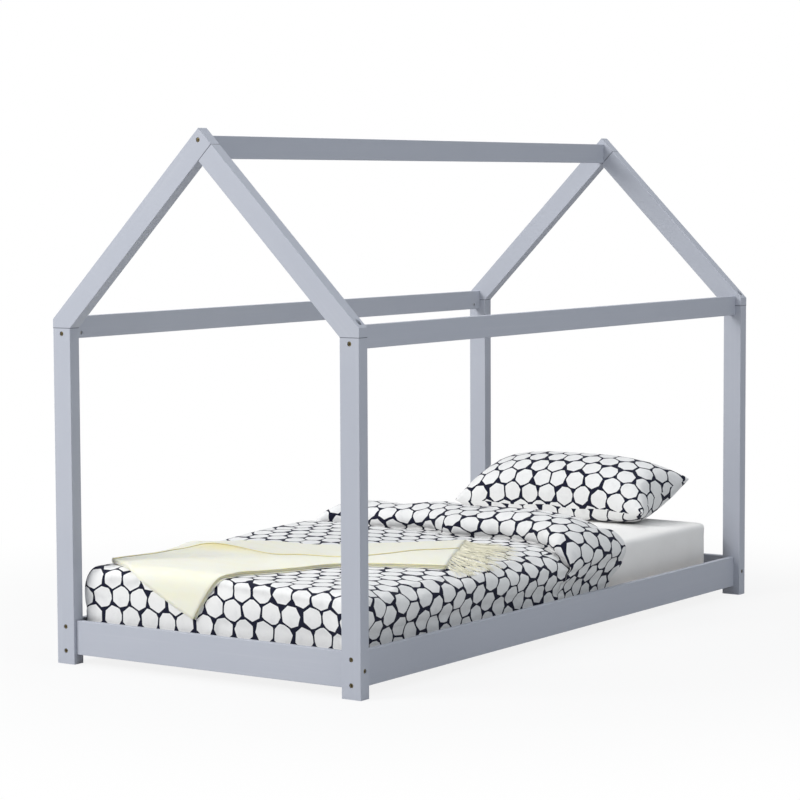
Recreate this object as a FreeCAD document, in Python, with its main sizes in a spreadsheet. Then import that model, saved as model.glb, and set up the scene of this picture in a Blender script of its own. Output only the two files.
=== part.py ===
"""House bed for a child: a bolted timber frame with a roof outline, a slatted base and its bedding."""
import FreeCAD
import Part
import math
import os
import re

# Frame: +X runs from the foot to the head, +Y to the left of someone lying on the back, +Z up.
# The origin is on the floor, at the middle of the four posts.
doc = FreeCAD.newDocument("HouseBed")
sheet = doc.addObject("Spreadsheet::Sheet", "Sizes")

# Driving dimensions, in millimetres and degrees
SIZES = [
    ("mattress_length", 1900, "mattress, foot to head"),
    ("mattress_width", 810, "mattress, side to side"),
    ("mattress_height", 145, "mattress, slats to top edge"),
    ("mattress_crown", 11, "how far the middle of the mattress stands over its edge"),
    ("mattress_corner", 50, "radius of the upright corners of the mattress"),
    ("mattress_hem", 14, "rounding of the top and bottom edges of the mattress"),
    ("foot_room", 48, "mattress to foot rail"),
    ("head_room", 58, "mattress to head rail"),
    ("side_room", 47, "mattress to each side rail"),
    ("post_width", 58, "post, across the bed"),
    ("post_depth", 36, "post and rafter, along the bed"),
    ("post_height", 888, "post, floor to rafter seat"),
    ("rafter_height", 58, "rafter, square to the slope"),
    ("rail_thickness", 18, "side and end rails"),
    ("rail_height", 90, "side and end rails"),
    ("rail_lift", 26, "floor to the underside of the rails"),
    ("side_rail_inset", 20, "side rail behind the outer face of the posts"),
    ("end_rail_inset", 9, "end rail behind the outer face of the posts"),
    ("beam_height", 58, "eaves and ridge beams"),
    ("beam_thickness", 18, "eaves and ridge beams"),
    ("eaves_beam_inset", 20, "eaves beam behind the outer face of the posts"),
    ("eaves_beam_rise", 29, "eaves beam above the rafter seat"),
    ("ridge_beam_drop", 19, "apex to the top of the ridge beam"),
    ("edge_ease", 1.5, "rounding of the long edges of the timber"),
    ("ledger_width", 22, "ledger strip, across the bed"),
    ("ledger_height", 22, "ledger strip"),
    ("ledger_lift", 4, "underside of the rail to underside of the ledger"),
    ("ledger_setback", 54, "inner face of the post to the end of the ledger"),
    ("slat_width", 70, "slat, along the bed"),
    ("slat_thickness", 18, "slat"),
    ("slat_end_gap", 2, "end of a slat to the side rail"),
    ("bolt_radius", 3, "shank of the frame bolts"),
    ("bolt_head_radius", 5.5, "head of the frame bolts"),
    ("bolt_head_height", 4, "head of the frame bolts"),
    ("bolt_sink", 5.5, "depth of the round pocket for a bolt head"),
    ("bolt_overrun", 8, "bolt past the middle of its nut"),
    ("bolt_hole_gap", 0.3, "bolt to its hole, all round"),
    ("bolt_head_gap", 0.7, "bolt head to its pocket, all round"),
    ("bolt_end_room", 2, "hole past the end of its bolt"),
    ("socket_radius", 2.6, "hexagon socket, across corners, halved"),
    ("socket_depth", 2.5, "hexagon socket"),
    ("thread_gap", 0.05, "bolt to the thread that holds it, all round"),
    ("nut_radius", 5, "barrel nut"),
    ("nut_length", 12, "barrel nut"),
    ("nut_setback", 33, "end of the timber to the middle of its barrel nut"),
    ("nut_gap", 0.1, "barrel nut to its hole"),
    ("nut_slot", 1.4, "screwdriver slot across the end of a barrel nut"),
    ("nut_slot_depth", 1.2, "screwdriver slot across the end of a barrel nut"),
    ("insert_radius", 5, "threaded insert"),
    ("insert_length", 22, "threaded insert"),
    ("dowel_radius", 4, "wooden dowel"),
    ("dowel_length", 30, "wooden dowel"),
    ("dowel_gap", 0.05, "dowel to its hole, all round"),
    ("dowel_end_room", 1, "hole past each end of its dowel"),
    ("side_bolt_spacing", 64, "upper to lower bolt of a side rail"),
    ("side_bolt_drop", 4, "middle of the side rail to the middle of its bolts"),
    ("end_dowel_spacing", 54, "upper to lower dowel of an end rail"),
    ("eaves_bolt_drop", 15, "eaves bolt below the rafter seat"),
    ("eaves_dowel_rise", 14, "eaves dowel above the rafter seat"),
    ("ridge_bolt_drop", 30, "ridge bolt below the apex"),
    ("ridge_dowel_drop", 62, "ridge dowel below the apex"),
    ("rafter_bolt_inset", 14, "rafter bolt from the outer face of the post"),
    ("rafter_bolt_rise", 22, "seat of the rafter bolt above the rafter seat"),
    ("rafter_pocket_radius", 7, "pocket for the rafter bolt in the slope"),
    ("rafter_dowel_inset", 13, "rafter dowel from the inner face of the post"),
    ("apex_bolt_depth", 38, "apex bolt below the upper face of the rafter it holds"),
    ("apex_dowel_depth", 14, "apex dowel below the upper face of the rafter it holds"),
    ("screw_radius", 2, "wood screw"),
    ("screw_head_radius", 4, "wood screw"),
    ("screw_head_height", 2.5, "wood screw"),
    ("screw_gap", 0.05, "wood screw to its hole"),
    ("screw_end_room", 1, "hole past the end of a wood screw"),
    ("ledger_screw_length", 36, "screw through the ledger into the rail"),
    ("slat_screw_length", 32, "screw through the slat into the ledger"),
    ("duvet_loft", 36, "duvet on top of the mattress"),
    ("duvet_fit", 0.5, "duvet to mattress"),
    ("duvet_rail_gap", 7, "duvet to the side rails"),
    ("duvet_post_gap", 7, "duvet to the foot posts"),
    ("duvet_hem_lift", 12, "hem of the duvet above the slats"),
    ("duvet_shoulder", 60, "rounding of the duvet over the edge of the mattress"),
    ("duvet_crown", 12, "how far the middle of the duvet stands over its shoulders"),
    ("duvet_swell", 4, "how far the hanging sides of the duvet swell out"),
    ("duvet_cover", 1300, "foot of the duvet to the fold at its head end"),
    ("flap_width", 225, "part of the duvet that is folded back"),
    ("flap_loft", 42, "second layer of the duvet where it is folded back"),
    ("flap_slant", 0.14, "slant of the edge of the flap across the bed"),
    ("fold_slant", 0.08, "slant of the fold across the bed"),
    ("throw_thickness", 9, "folded throw"),
    ("throw_gap", 0.7, "throw to duvet"),
    ("pillow_length", 667, "pillow across the bed, seam corner to seam corner"),
    ("pillow_depth", 309, "pillow along the bed, seam corner to seam corner"),
    ("pillow_half_height", 94, "seam to the crown of the pillow"),
    ("pillow_draw", 16, "how far the seams draw in between the corners"),
    ("pillow_tilt", 14, "slope of the pillow, head end raised"),
    ("pillow_head_gap", 120, "head end of the mattress to the middle of the pillow"),
    ("pillow_side_shift", 9, "middle of the pillow to the left of the bed"),
    ("pillow_lift", 89, "top of the mattress to the middle of the pillow"),
    ("pillow_rest_gap", 0.4, "pillow to mattress"),
]
for row, (alias, value, note) in enumerate(SIZES, start=1):
    sheet.set(f"A{row}", note)
    sheet.set(f"B{row}", str(value))
    sheet.setAlias(f"B{row}", alias)
doc.recompute()

SLAT_COUNT = 13
LEDGER_SCREW_COUNT = 8

# Sizes that follow from the driving dimensions
FOLLOWING = {
    "inner_length": "mattress_length + foot_room + head_room",
    "inner_width": "mattress_width + 2 * side_room",
    "bed_length": "inner_length + 2 * (rail_thickness + end_rail_inset)",
    "bed_width": "inner_width + 2 * (rail_thickness + side_rail_inset)",
    "half_length": "bed_length / 2",
    "half_width": "bed_width / 2",
    "post_face_x": "half_length - post_depth",
    "post_face_y": "half_width - post_width",
    "post_middle_x": "half_length - post_depth / 2",
    "rail_middle": "rail_lift + rail_height / 2",
    "side_rail_y": "half_width - side_rail_inset - rail_thickness / 2",
    "end_rail_x": "half_length - end_rail_inset - rail_thickness / 2",
    "eaves_beam_y": "half_width - eaves_beam_inset - beam_thickness / 2",
    "rafter_rise": "rafter_height * sqrt(2)",
    "inner_ridge": "post_height + post_face_y",
    "apex": "inner_ridge + rafter_rise",
    "ledger_bottom": "rail_lift + ledger_lift",
    "slat_bottom": "ledger_bottom + ledger_height",
    "slat_top": "slat_bottom + slat_thickness",
    "ledger_end": "post_face_x - ledger_setback",
    "ledger_y": "inner_width / 2 - ledger_width / 2",
    "mattress_middle": "(foot_room - head_room) / 2",
    "mattress_top": "slat_top + mattress_height",
    "duvet_foot": "0 - post_face_x + duvet_post_gap",
    "duvet_half": "inner_width / 2 - duvet_rail_gap - duvet_swell",
    "duvet_top": "mattress_top + mattress_crown + duvet_loft - duvet_crown",
    "duvet_hem": "slat_top + duvet_hem_lift",
}
ALIASES = {alias for alias, value, note in SIZES}


def expand(text):
    """Write a size expression in terms of the cells of the sheet."""

    def cell(match):
        word = match.group(0)
        if word in FOLLOWING:
            return "(" + expand(FOLLOWING[word]) + ")"
        return "Sizes." + word if word in ALIASES else word

    return re.sub(r"[a-z_]+", cell, text)


def size(text):
    """Value of a size expression, as a plain number."""
    return float(sheet.evalExpression(expand(text)))


def bind(obj, prop, text):
    obj.setExpression(prop, expand(text))


# Directions along which a rod or fastener runs, as turns of an upright one
UPRIGHT = FreeCAD.Rotation()
TURNS = {
    "+x": FreeCAD.Rotation(FreeCAD.Vector(0, 1, 0), 90),
    "-x": FreeCAD.Rotation(FreeCAD.Vector(0, 1, 0), -90),
    "+y": FreeCAD.Rotation(FreeCAD.Vector(1, 0, 0), -90),
    "-y": FreeCAD.Rotation(FreeCAD.Vector(1, 0, 0), 90),
    "+z": UPRIGHT,
    "-z": FreeCAD.Rotation(FreeCAD.Vector(1, 0, 0), 180),
    "down the right slope": FreeCAD.Rotation(FreeCAD.Vector(1, 0, 0), 135),
}
LEFT_SLOPE = FreeCAD.Rotation(FreeCAD.Vector(1, 0, 0), -45)
RIGHT_SLOPE = FreeCAD.Rotation(FreeCAD.Vector(1, 0, 0), 45)
HERE = ("0", "0", "0")


def place(obj, point, turn=UPRIGHT):
    """Put an object at a point of three size expressions."""
    obj.Placement = FreeCAD.Placement(FreeCAD.Vector(), turn)
    for axis, text in zip("xyz", point):
        bind(obj, f"Placement.Base.{axis}", text)
    return obj


def block(name, edges, corner, turn=UPRIGHT):
    """Box with three edge lengths, from its lowest corner."""
    box = doc.addObject("Part::Box", name)
    for prop, text in zip(("Length", "Width", "Height"), edges):
        bind(box, prop, text)
    return place(box, corner, turn)


def rod(name, radius, length, start, turn=UPRIGHT):
    """Round bar or round hole, from the middle of its first end."""
    cylinder = doc.addObject("Part::Cylinder", name)
    bind(cylinder, "Radius", radius)
    bind(cylinder, "Height", length)
    return place(cylinder, start, turn)


def cut(name, base, tools):
    """Base with all the tools cut away."""
    tool = tools[0]
    if len(tools) > 1:
        tool = doc.addObject("Part::MultiFuse", name + "_tools")
        tool.Shapes = tools
    result = doc.addObject("Part::Cut", name)
    result.Base = base
    result.Tool = tool
    return result


# Two directions count as the same when they are within this angle, in degrees
SAME_WAY_DEGREES = 8


def eased(name, base, direction):
    """Base with rounded edges along one of its own directions."""
    doc.recompute()
    radius = size("edge_ease")
    wanted = base.Placement.Rotation.multVec(FreeCAD.Vector(*direction))
    closeness = math.cos(math.radians(SAME_WAY_DEGREES))
    fillet = doc.addObject("Part::Fillet", name)
    fillet.Base = base
    fillet.Edges = [
        (index, radius, radius)
        for index, edge in enumerate(base.Shape.Edges, start=1)
        if abs(edge.tangentAt(edge.FirstParameter).dot(wanted)) > closeness
    ]
    return fillet


nodes = []


def node(label, obj):
    """Keep an object as a sub-part of the bed under its own name."""
    obj.Label = label
    nodes.append(obj)
    return obj


def group(label, members):
    """Identical loose pieces kept together as separate solids."""
    compound = doc.addObject("Part::Compound", label)
    compound.Links = members
    return node(label, compound)


# Bolts, nuts, inserts, dowels and screws, with the holes that take them
def bolt(name, seat, turn, length):
    """Bolt with a hexagon socket: the head stands on its seat and the shank runs on from there."""
    shank = rod(name + "_shank", "bolt_radius", length, HERE)
    head = rod(name + "_head", "bolt_head_radius", "bolt_head_height", ("0", "0", "0 - bolt_head_height"))
    whole = doc.addObject("Part::Fuse", name + "_whole")
    whole.Base = shank
    whole.Tool = head
    socket = doc.addObject("Part::Prism", name + "_socket")
    socket.Polygon = 6
    bind(socket, "Circumradius", "socket_radius")
    bind(socket, "Height", "socket_depth")
    place(socket, ("0", "0", "0 - bolt_head_height"))
    return place(cut(name, whole, [socket]), seat, turn)


def bolt_hole(name, face, turn, length, pocket="bolt_head_radius + bolt_head_gap", sink="bolt_sink"):
    """Round pocket for a bolt head, and the hole for its shank, from the face of the timber."""
    return [
        rod(name + "_pocket", pocket, sink, face, turn),
        rod(name + "_bore", "bolt_radius + bolt_hole_gap", length, face, turn),
    ]


NUT_CROSS_STARTS = {
    "+x": ("0 - nut_radius", "0", "nut_length / 2"),
    "+y": ("0", "0 - nut_radius", "nut_length / 2"),
}


def barrel_nut(name, start, turn, cross_turn):
    """Round nut, slotted at its first end, with a cross hole for its bolt."""
    barrel = rod(name + "_barrel", "nut_radius", "nut_length", HERE)
    slot = block(
        name + "_slot",
        ("nut_slot", "2 * nut_radius", "nut_slot_depth"),
        ("0 - nut_slot / 2", "0 - nut_radius", "0"),
    )
    cross = rod(
        name + "_cross",
        "bolt_radius + thread_gap",
        "2 * nut_radius",
        NUT_CROSS_STARTS[cross_turn],
        TURNS[cross_turn],
    )
    return place(cut(name, barrel, [slot, cross]), start, turn)


def threaded_insert(name, start, turn):
    """Threaded sleeve set flush in the timber."""
    sleeve = rod(name + "_sleeve", "insert_radius", "insert_length", HERE)
    bore = rod(name + "_bore", "bolt_radius + thread_gap", "insert_length", HERE)
    return place(cut(name, sleeve, [bore]), start, turn)


def dowel_hole(name, face, turn):
    """Blind hole for half a dowel."""
    return rod(name, "dowel_radius + dowel_gap", "dowel_length / 2 + dowel_end_room", face, turn)


def screw(name, seat, turn, length):
    """Wood screw with a flat round head; its length includes the head, which lies flush at its start."""
    shank = rod(name + "_shank", "screw_radius", length, HERE)
    head = rod(name + "_head", "screw_head_radius", "screw_head_height", HERE)
    whole = doc.addObject("Part::Fuse", name)
    whole.Base = shank
    whole.Tool = head
    return place(whole, seat, turn)


def screw_hole(name, seat, turn, length):
    """Sunk hole for a wood screw."""
    return [
        rod(name + "_sink", "screw_head_radius + screw_gap", "screw_head_height", seat, turn),
        rod(name + "_bore", "screw_radius + screw_gap", length + " + screw_end_room", seat, turn),
    ]


ENDS = {"foot": -1, "head": 1}
SIDES = {"right": -1, "left": 1}
CORNERS = [(end, side) for end in ENDS for side in SIDES]


def inward_x(end):
    return TURNS["-x" if ENDS[end] > 0 else "+x"]


def outward_x(end):
    return TURNS["+x" if ENDS[end] > 0 else "-x"]


def inward_y(side):
    return TURNS["-y" if SIDES[side] > 0 else "+y"]


def outward_y(side):
    return TURNS["+y" if SIDES[side] > 0 else "-y"]


LEDGER_SCREW_LEVEL = "ledger_bottom + ledger_height / 2"
SIDE_BOLT_LEVELS = {
    "low": "rail_middle - side_bolt_drop - side_bolt_spacing / 2",
    "high": "rail_middle - side_bolt_drop + side_bolt_spacing / 2",
}
SIDE_DOWEL_LEVEL = "rail_middle - side_bolt_drop"
END_DOWEL_LEVELS = {
    "low": "rail_middle - end_dowel_spacing / 2",
    "high": "rail_middle + end_dowel_spacing / 2",
}
EAVES_BOLT_LEVEL = "post_height - eaves_bolt_drop"
EAVES_DOWEL_LEVEL = "post_height + eaves_dowel_rise"
RIDGE_BOLT_LEVEL = "apex - ridge_bolt_drop"
RIDGE_DOWEL_LEVEL = "apex - ridge_dowel_drop"
RAFTER_BOLT_Y = "half_width - rafter_bolt_inset"
RAFTER_DOWEL_Y = "post_face_y + rafter_dowel_inset"
LONG_BOLT = "post_depth - bolt_sink + nut_setback + bolt_overrun"
END_BOLT = "post_width - bolt_sink + nut_setback + bolt_overrun"
RAFTER_BOLT = "rafter_bolt_rise + insert_length"
APEX_BOLT = "rafter_height - bolt_sink + insert_length"


# Posts: straight bars with the holes for the rails, the eaves beam and the rafter
for end, side in CORNERS:
    ex = ENDS[end]
    sy = SIDES[side]
    name = f"post_{end}_{side}"
    bar = block(
        name + "_bar",
        ("post_depth", "post_width", "post_height"),
        (
            f"{ex} * post_middle_x - post_depth / 2",
            f"{sy} * (half_width - post_width / 2) - post_width / 2",
            "0",
        ),
    )
    outer_x = f"{ex} * half_length"
    inner_x = f"{ex} * post_face_x"
    holes = []
    for level_name, level in SIDE_BOLT_LEVELS.items():
        face = (outer_x, f"{sy} * side_rail_y", level)
        holes += bolt_hole(f"{name}_side_{level_name}", face, inward_x(end), "post_depth")
    face = (inner_x, f"{sy} * side_rail_y", SIDE_DOWEL_LEVEL)
    holes.append(dowel_hole(name + "_side_dowel", face, outward_x(end)))
    face = (f"{ex} * end_rail_x", f"{sy} * half_width", "rail_middle")
    holes += bolt_hole(name + "_end", face, inward_y(side), "post_width")
    for level_name, level in END_DOWEL_LEVELS.items():
        face = (f"{ex} * end_rail_x", f"{sy} * post_face_y", level)
        holes.append(dowel_hole(f"{name}_end_dowel_{level_name}", face, outward_y(side)))
    face = (outer_x, f"{sy} * eaves_beam_y", EAVES_BOLT_LEVEL)
    holes += bolt_hole(name + "_eaves", face, inward_x(end), "post_depth")
    top = (f"{ex} * post_middle_x", f"{sy} * ({RAFTER_BOLT_Y})", "post_height")
    depth = "insert_length + bolt_end_room"
    holes.append(rod(name + "_insert", "insert_radius + thread_gap", depth, top, TURNS["-z"]))
    top = (f"{ex} * post_middle_x", f"{sy} * ({RAFTER_DOWEL_Y})", "post_height")
    holes.append(dowel_hole(name + "_rafter_dowel", top, TURNS["-z"]))
    node(name, cut(name, eased(name + "_eased", bar, (0, 0, 1)), holes))

# Rafters: the same bars at 45 degrees, cut upright at the eaves and level on the posts.
# At the apex the left one runs through, and the right one butts square on its underside.
for end, side in CORNERS:
    ex = ENDS[end]
    sy = SIDES[side]
    name = f"rafter_{end}_{side}"
    low_x = f"{ex} * post_middle_x - post_depth / 2"
    if side == "left":
        stock = "(half_width + 2 * rafter_height) * sqrt(2)"
        start = (low_x, "0 - rafter_rise / 2", "inner_ridge + rafter_rise / 2")
        turn = LEFT_SLOPE
    else:
        stock = "(half_width + rafter_height) * sqrt(2)"
        start = (low_x, "0 - half_width - rafter_height", "inner_ridge - half_width - rafter_height")
        turn = RIGHT_SLOPE
    bar = block(name + "_bar", ("post_depth", stock, "rafter_height"), start, turn)
    reach = "4 * rafter_height"
    cuts = [
        block(
            name + "_seat",
            ("post_depth", reach, reach),
            (low_x, f"{sy} * half_width - ({reach}) / 2", f"post_height - ({reach})"),
        ),
        block(
            name + "_plumb",
            ("post_depth", reach, reach),
            (low_x, f"{sy} * (half_width + ({reach}) / 2) - ({reach}) / 2", f"post_height - ({reach}) / 2"),
        ),
    ]
    middle_x = f"{ex} * post_middle_x"
    seat = (middle_x, f"{sy} * ({RAFTER_BOLT_Y})", "post_height + rafter_bolt_rise")
    cuts.append(rod(name + "_pocket", "rafter_pocket_radius", reach, seat))
    foot = (middle_x, f"{sy} * ({RAFTER_BOLT_Y})", "post_height")
    cuts.append(rod(name + "_bore", "bolt_radius + bolt_hole_gap", "rafter_bolt_rise", foot))
    foot = (middle_x, f"{sy} * ({RAFTER_DOWEL_Y})", "post_height")
    cuts.append(dowel_hole(name + "_post_dowel", foot, TURNS["+z"]))
    face = (f"{ex} * post_face_x", f"{sy} * eaves_beam_y", EAVES_DOWEL_LEVEL)
    cuts.append(dowel_hole(name + "_eaves_dowel", face, outward_x(end)))
    # Points on the joint face between the two rafters, below the upper face of the right one
    for kind, depth in (("bolt", "apex_bolt_depth"), ("dowel", "apex_dowel_depth")):
        joint = (
            middle_x,
            f"({depth} - rafter_height) / sqrt(2)",
            f"inner_ridge + (rafter_height - {depth}) / sqrt(2)",
        )
        if kind == "dowel":
            way = TURNS["down the right slope"] if side == "right" else RIGHT_SLOPE.multiply(TURNS["+y"])
            cuts.append(dowel_hole(name + "_apex_dowel", joint, way))
        elif side == "right":
            way = TURNS["down the right slope"]
            length = "insert_length + bolt_end_room"
            cuts.append(rod(name + "_apex_insert", "insert_radius + thread_gap", length, joint, way))
        else:
            upper = (
                middle_x,
                f"({depth} - rafter_height) / sqrt(2) + rafter_height / sqrt(2)",
                f"inner_ridge + (rafter_height - {depth}) / sqrt(2) + rafter_height / sqrt(2)",
            )
            way = TURNS["down the right slope"]
            cuts += bolt_hole(name + "_apex", upper, way, "rafter_height")
    if side == "left":
        face = (f"{ex} * half_length", "0", RIDGE_BOLT_LEVEL)
        cuts += bolt_hole(name + "_ridge", face, inward_x(end), "post_depth")
    face = (f"{ex} * post_face_x", "0", RIDGE_DOWEL_LEVEL)
    cuts.append(dowel_hole(name + "_ridge_dowel", face, outward_x(end)))
    node(name, cut(name, eased(name + "_eased", bar, (0, 1, 0)), cuts))


def end_holes(name, thickness, end_point, bolt_turn, nut_start, nut_turn):
    """Hole into the end of a timber for a bolt, and the blind cross hole for its barrel nut."""
    depth = "nut_setback + bolt_overrun + bolt_end_room"
    nut_depth = f"({thickness} + nut_length) / 2"
    return [
        rod(name + "_bore", "bolt_radius + bolt_hole_gap", depth, end_point, bolt_turn),
        rod(name + "_cross", "nut_radius + nut_gap", nut_depth, nut_start, nut_turn),
    ]


# Eaves beams: rails along both sides, level with the foot of the roof
for side in SIDES:
    sy = SIDES[side]
    name = f"eaves_beam_{side}"
    bar = block(
        name + "_bar",
        ("2 * post_face_x", "beam_thickness", "beam_height"),
        (
            "0 - post_face_x",
            f"{sy} * eaves_beam_y - beam_thickness / 2",
            "post_height + eaves_beam_rise - beam_height",
        ),
    )
    holes = []
    for end, ex in ENDS.items():
        end_point = (f"{ex} * post_face_x", f"{sy} * eaves_beam_y", EAVES_BOLT_LEVEL)
        nut_x = f"{ex} * (post_face_x - nut_setback)"
        nut_start = (nut_x, f"{sy} * (eaves_beam_y - beam_thickness / 2)", EAVES_BOLT_LEVEL)
        nut_turn = outward_y(side)
        holes += end_holes(f"{name}_{end}", "beam_thickness", end_point, inward_x(end), nut_start, nut_turn)
        end_point = (f"{ex} * post_face_x", f"{sy} * eaves_beam_y", EAVES_DOWEL_LEVEL)
        holes.append(dowel_hole(f"{name}_{end}_dowel", end_point, inward_x(end)))
    node(name, cut(name, eased(name + "_eased", bar, (1, 0, 0)), holes))

# Ridge beam: between the two gables, just under the apex
bar = block(
    "ridge_beam_bar",
    ("2 * post_face_x", "beam_thickness", "beam_height"),
    ("0 - post_face_x", "0 - beam_thickness / 2", "apex - ridge_beam_drop - beam_height"),
)
holes = []
for end, ex in ENDS.items():
    end_point = (f"{ex} * post_face_x", "0", RIDGE_BOLT_LEVEL)
    nut_start = (f"{ex} * (post_face_x - nut_setback)", "beam_thickness / 2", RIDGE_BOLT_LEVEL)
    hole_name = f"ridge_beam_{end}"
    holes += end_holes(hole_name, "beam_thickness", end_point, inward_x(end), nut_start, TURNS["-y"])
    end_point = (f"{ex} * post_face_x", "0", RIDGE_DOWEL_LEVEL)
    holes.append(dowel_hole(f"ridge_beam_{end}_dowel", end_point, inward_x(end)))
node("ridge_beam", cut("ridge_beam", eased("ridge_beam_eased", bar, (1, 0, 0)), holes))


def screw_x(index):
    """Place of a ledger screw along the bed."""
    share = (2 * index + 1) / LEDGER_SCREW_COUNT - 1
    return f"{share} * ledger_end"


def slat_x(index):
    """Middle of a slat along the bed; the outer two end flush with the ledgers."""
    share = 2 * index / (SLAT_COUNT - 1) - 1
    return f"{share} * (ledger_end - slat_width / 2)"


# Side rails, with two bolts at each end, and the ledger strip screwed inside each
for side in SIDES:
    sy = SIDES[side]
    name = f"side_rail_{side}"
    bar = block(
        name + "_bar",
        ("2 * post_face_x", "rail_thickness", "rail_height"),
        ("0 - post_face_x", f"{sy} * side_rail_y - rail_thickness / 2", "rail_lift"),
    )
    inner_y = f"{sy} * inner_width / 2"
    holes = []
    for end, ex in ENDS.items():
        nut_x = f"{ex} * (post_face_x - nut_setback)"
        for level_name, level in SIDE_BOLT_LEVELS.items():
            end_point = (f"{ex} * post_face_x", f"{sy} * side_rail_y", level)
            nut_start = (nut_x, inner_y, level)
            hole_name = f"{name}_{end}_{level_name}"
            nut_turn = outward_y(side)
            holes += end_holes(hole_name, "rail_thickness", end_point, inward_x(end), nut_start, nut_turn)
        end_point = (f"{ex} * post_face_x", f"{sy} * side_rail_y", SIDE_DOWEL_LEVEL)
        holes.append(dowel_hole(f"{name}_{end}_dowel", end_point, inward_x(end)))
    strip = block(
        f"ledger_{side}_bar",
        ("2 * ledger_end", "ledger_width", "ledger_height"),
        ("0 - ledger_end", f"{sy} * ledger_y - ledger_width / 2", "ledger_bottom"),
    )
    strip_holes = []
    for index in range(LEDGER_SCREW_COUNT):
        seat = (screw_x(index), f"{sy} * (inner_width / 2 - ledger_width)", LEDGER_SCREW_LEVEL)
        strip_holes += screw_hole(f"ledger_{side}_{index}", seat, outward_y(side), "ledger_screw_length")
        holes.append(
            rod(
                f"{name}_pilot_{index}",
                "screw_radius + screw_gap",
                "ledger_screw_length - ledger_width + screw_end_room",
                (screw_x(index), inner_y, LEDGER_SCREW_LEVEL),
                outward_y(side),
            )
        )
    for index in range(SLAT_COUNT):
        seat = (slat_x(index), f"{sy} * ledger_y", "slat_bottom")
        depth = "slat_screw_length - slat_thickness + screw_end_room"
        strip_holes.append(
            rod(f"ledger_{side}_slat_{index}", "screw_radius + screw_gap", depth, seat, TURNS["-z"])
        )
    node(name, cut(name, eased(name + "_eased", bar, (1, 0, 0)), holes))
    strip_name = f"ledger_{side}"
    node(strip_name, cut(strip_name, eased(strip_name + "_eased", strip, (1, 0, 0)), strip_holes))

# Foot and head rails, between the posts, with one bolt and two dowels at each end
for end, ex in ENDS.items():
    name = f"{end}_rail"
    bar = block(
        name + "_bar",
        ("rail_thickness", "2 * post_face_y", "rail_height"),
        (f"{ex} * end_rail_x - rail_thickness / 2", "0 - post_face_y", "rail_lift"),
    )
    holes = []
    for side, sy in SIDES.items():
        end_point = (f"{ex} * end_rail_x", f"{sy} * post_face_y", "rail_middle")
        nut_start = (
            f"{ex} * (end_rail_x - rail_thickness / 2)",
            f"{sy} * (post_face_y - nut_setback)",
            "rail_middle",
        )
        hole_name = f"{name}_{side}"
        nut_turn = outward_x(end)
        holes += end_holes(hole_name, "rail_thickness", end_point, inward_y(side), nut_start, nut_turn)
        for level_name, level in END_DOWEL_LEVELS.items():
            end_point = (f"{ex} * end_rail_x", f"{sy} * post_face_y", level)
            holes.append(dowel_hole(f"{name}_{side}_dowel_{level_name}", end_point, inward_y(side)))
    node(name, cut(name, eased(name + "_eased", bar, (0, 1, 0)), holes))

# Slats: loose boards laid across the ledgers, each held by a screw at both ends
for index in range(SLAT_COUNT):
    name = f"slat_{index + 1:02d}"
    board = block(
        name + "_board",
        ("slat_width", "inner_width - 2 * slat_end_gap", "slat_thickness"),
        (f"{slat_x(index)} - slat_width / 2", "slat_end_gap - inner_width / 2", "slat_bottom"),
    )
    holes = []
    for side, sy in SIDES.items():
        seat = (slat_x(index), f"{sy} * ledger_y", "slat_top")
        holes += screw_hole(f"{name}_{side}", seat, TURNS["-z"], "slat_screw_length")
    node(name, cut(name, eased(name + "_eased", board, (0, 1, 0)), holes))

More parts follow.
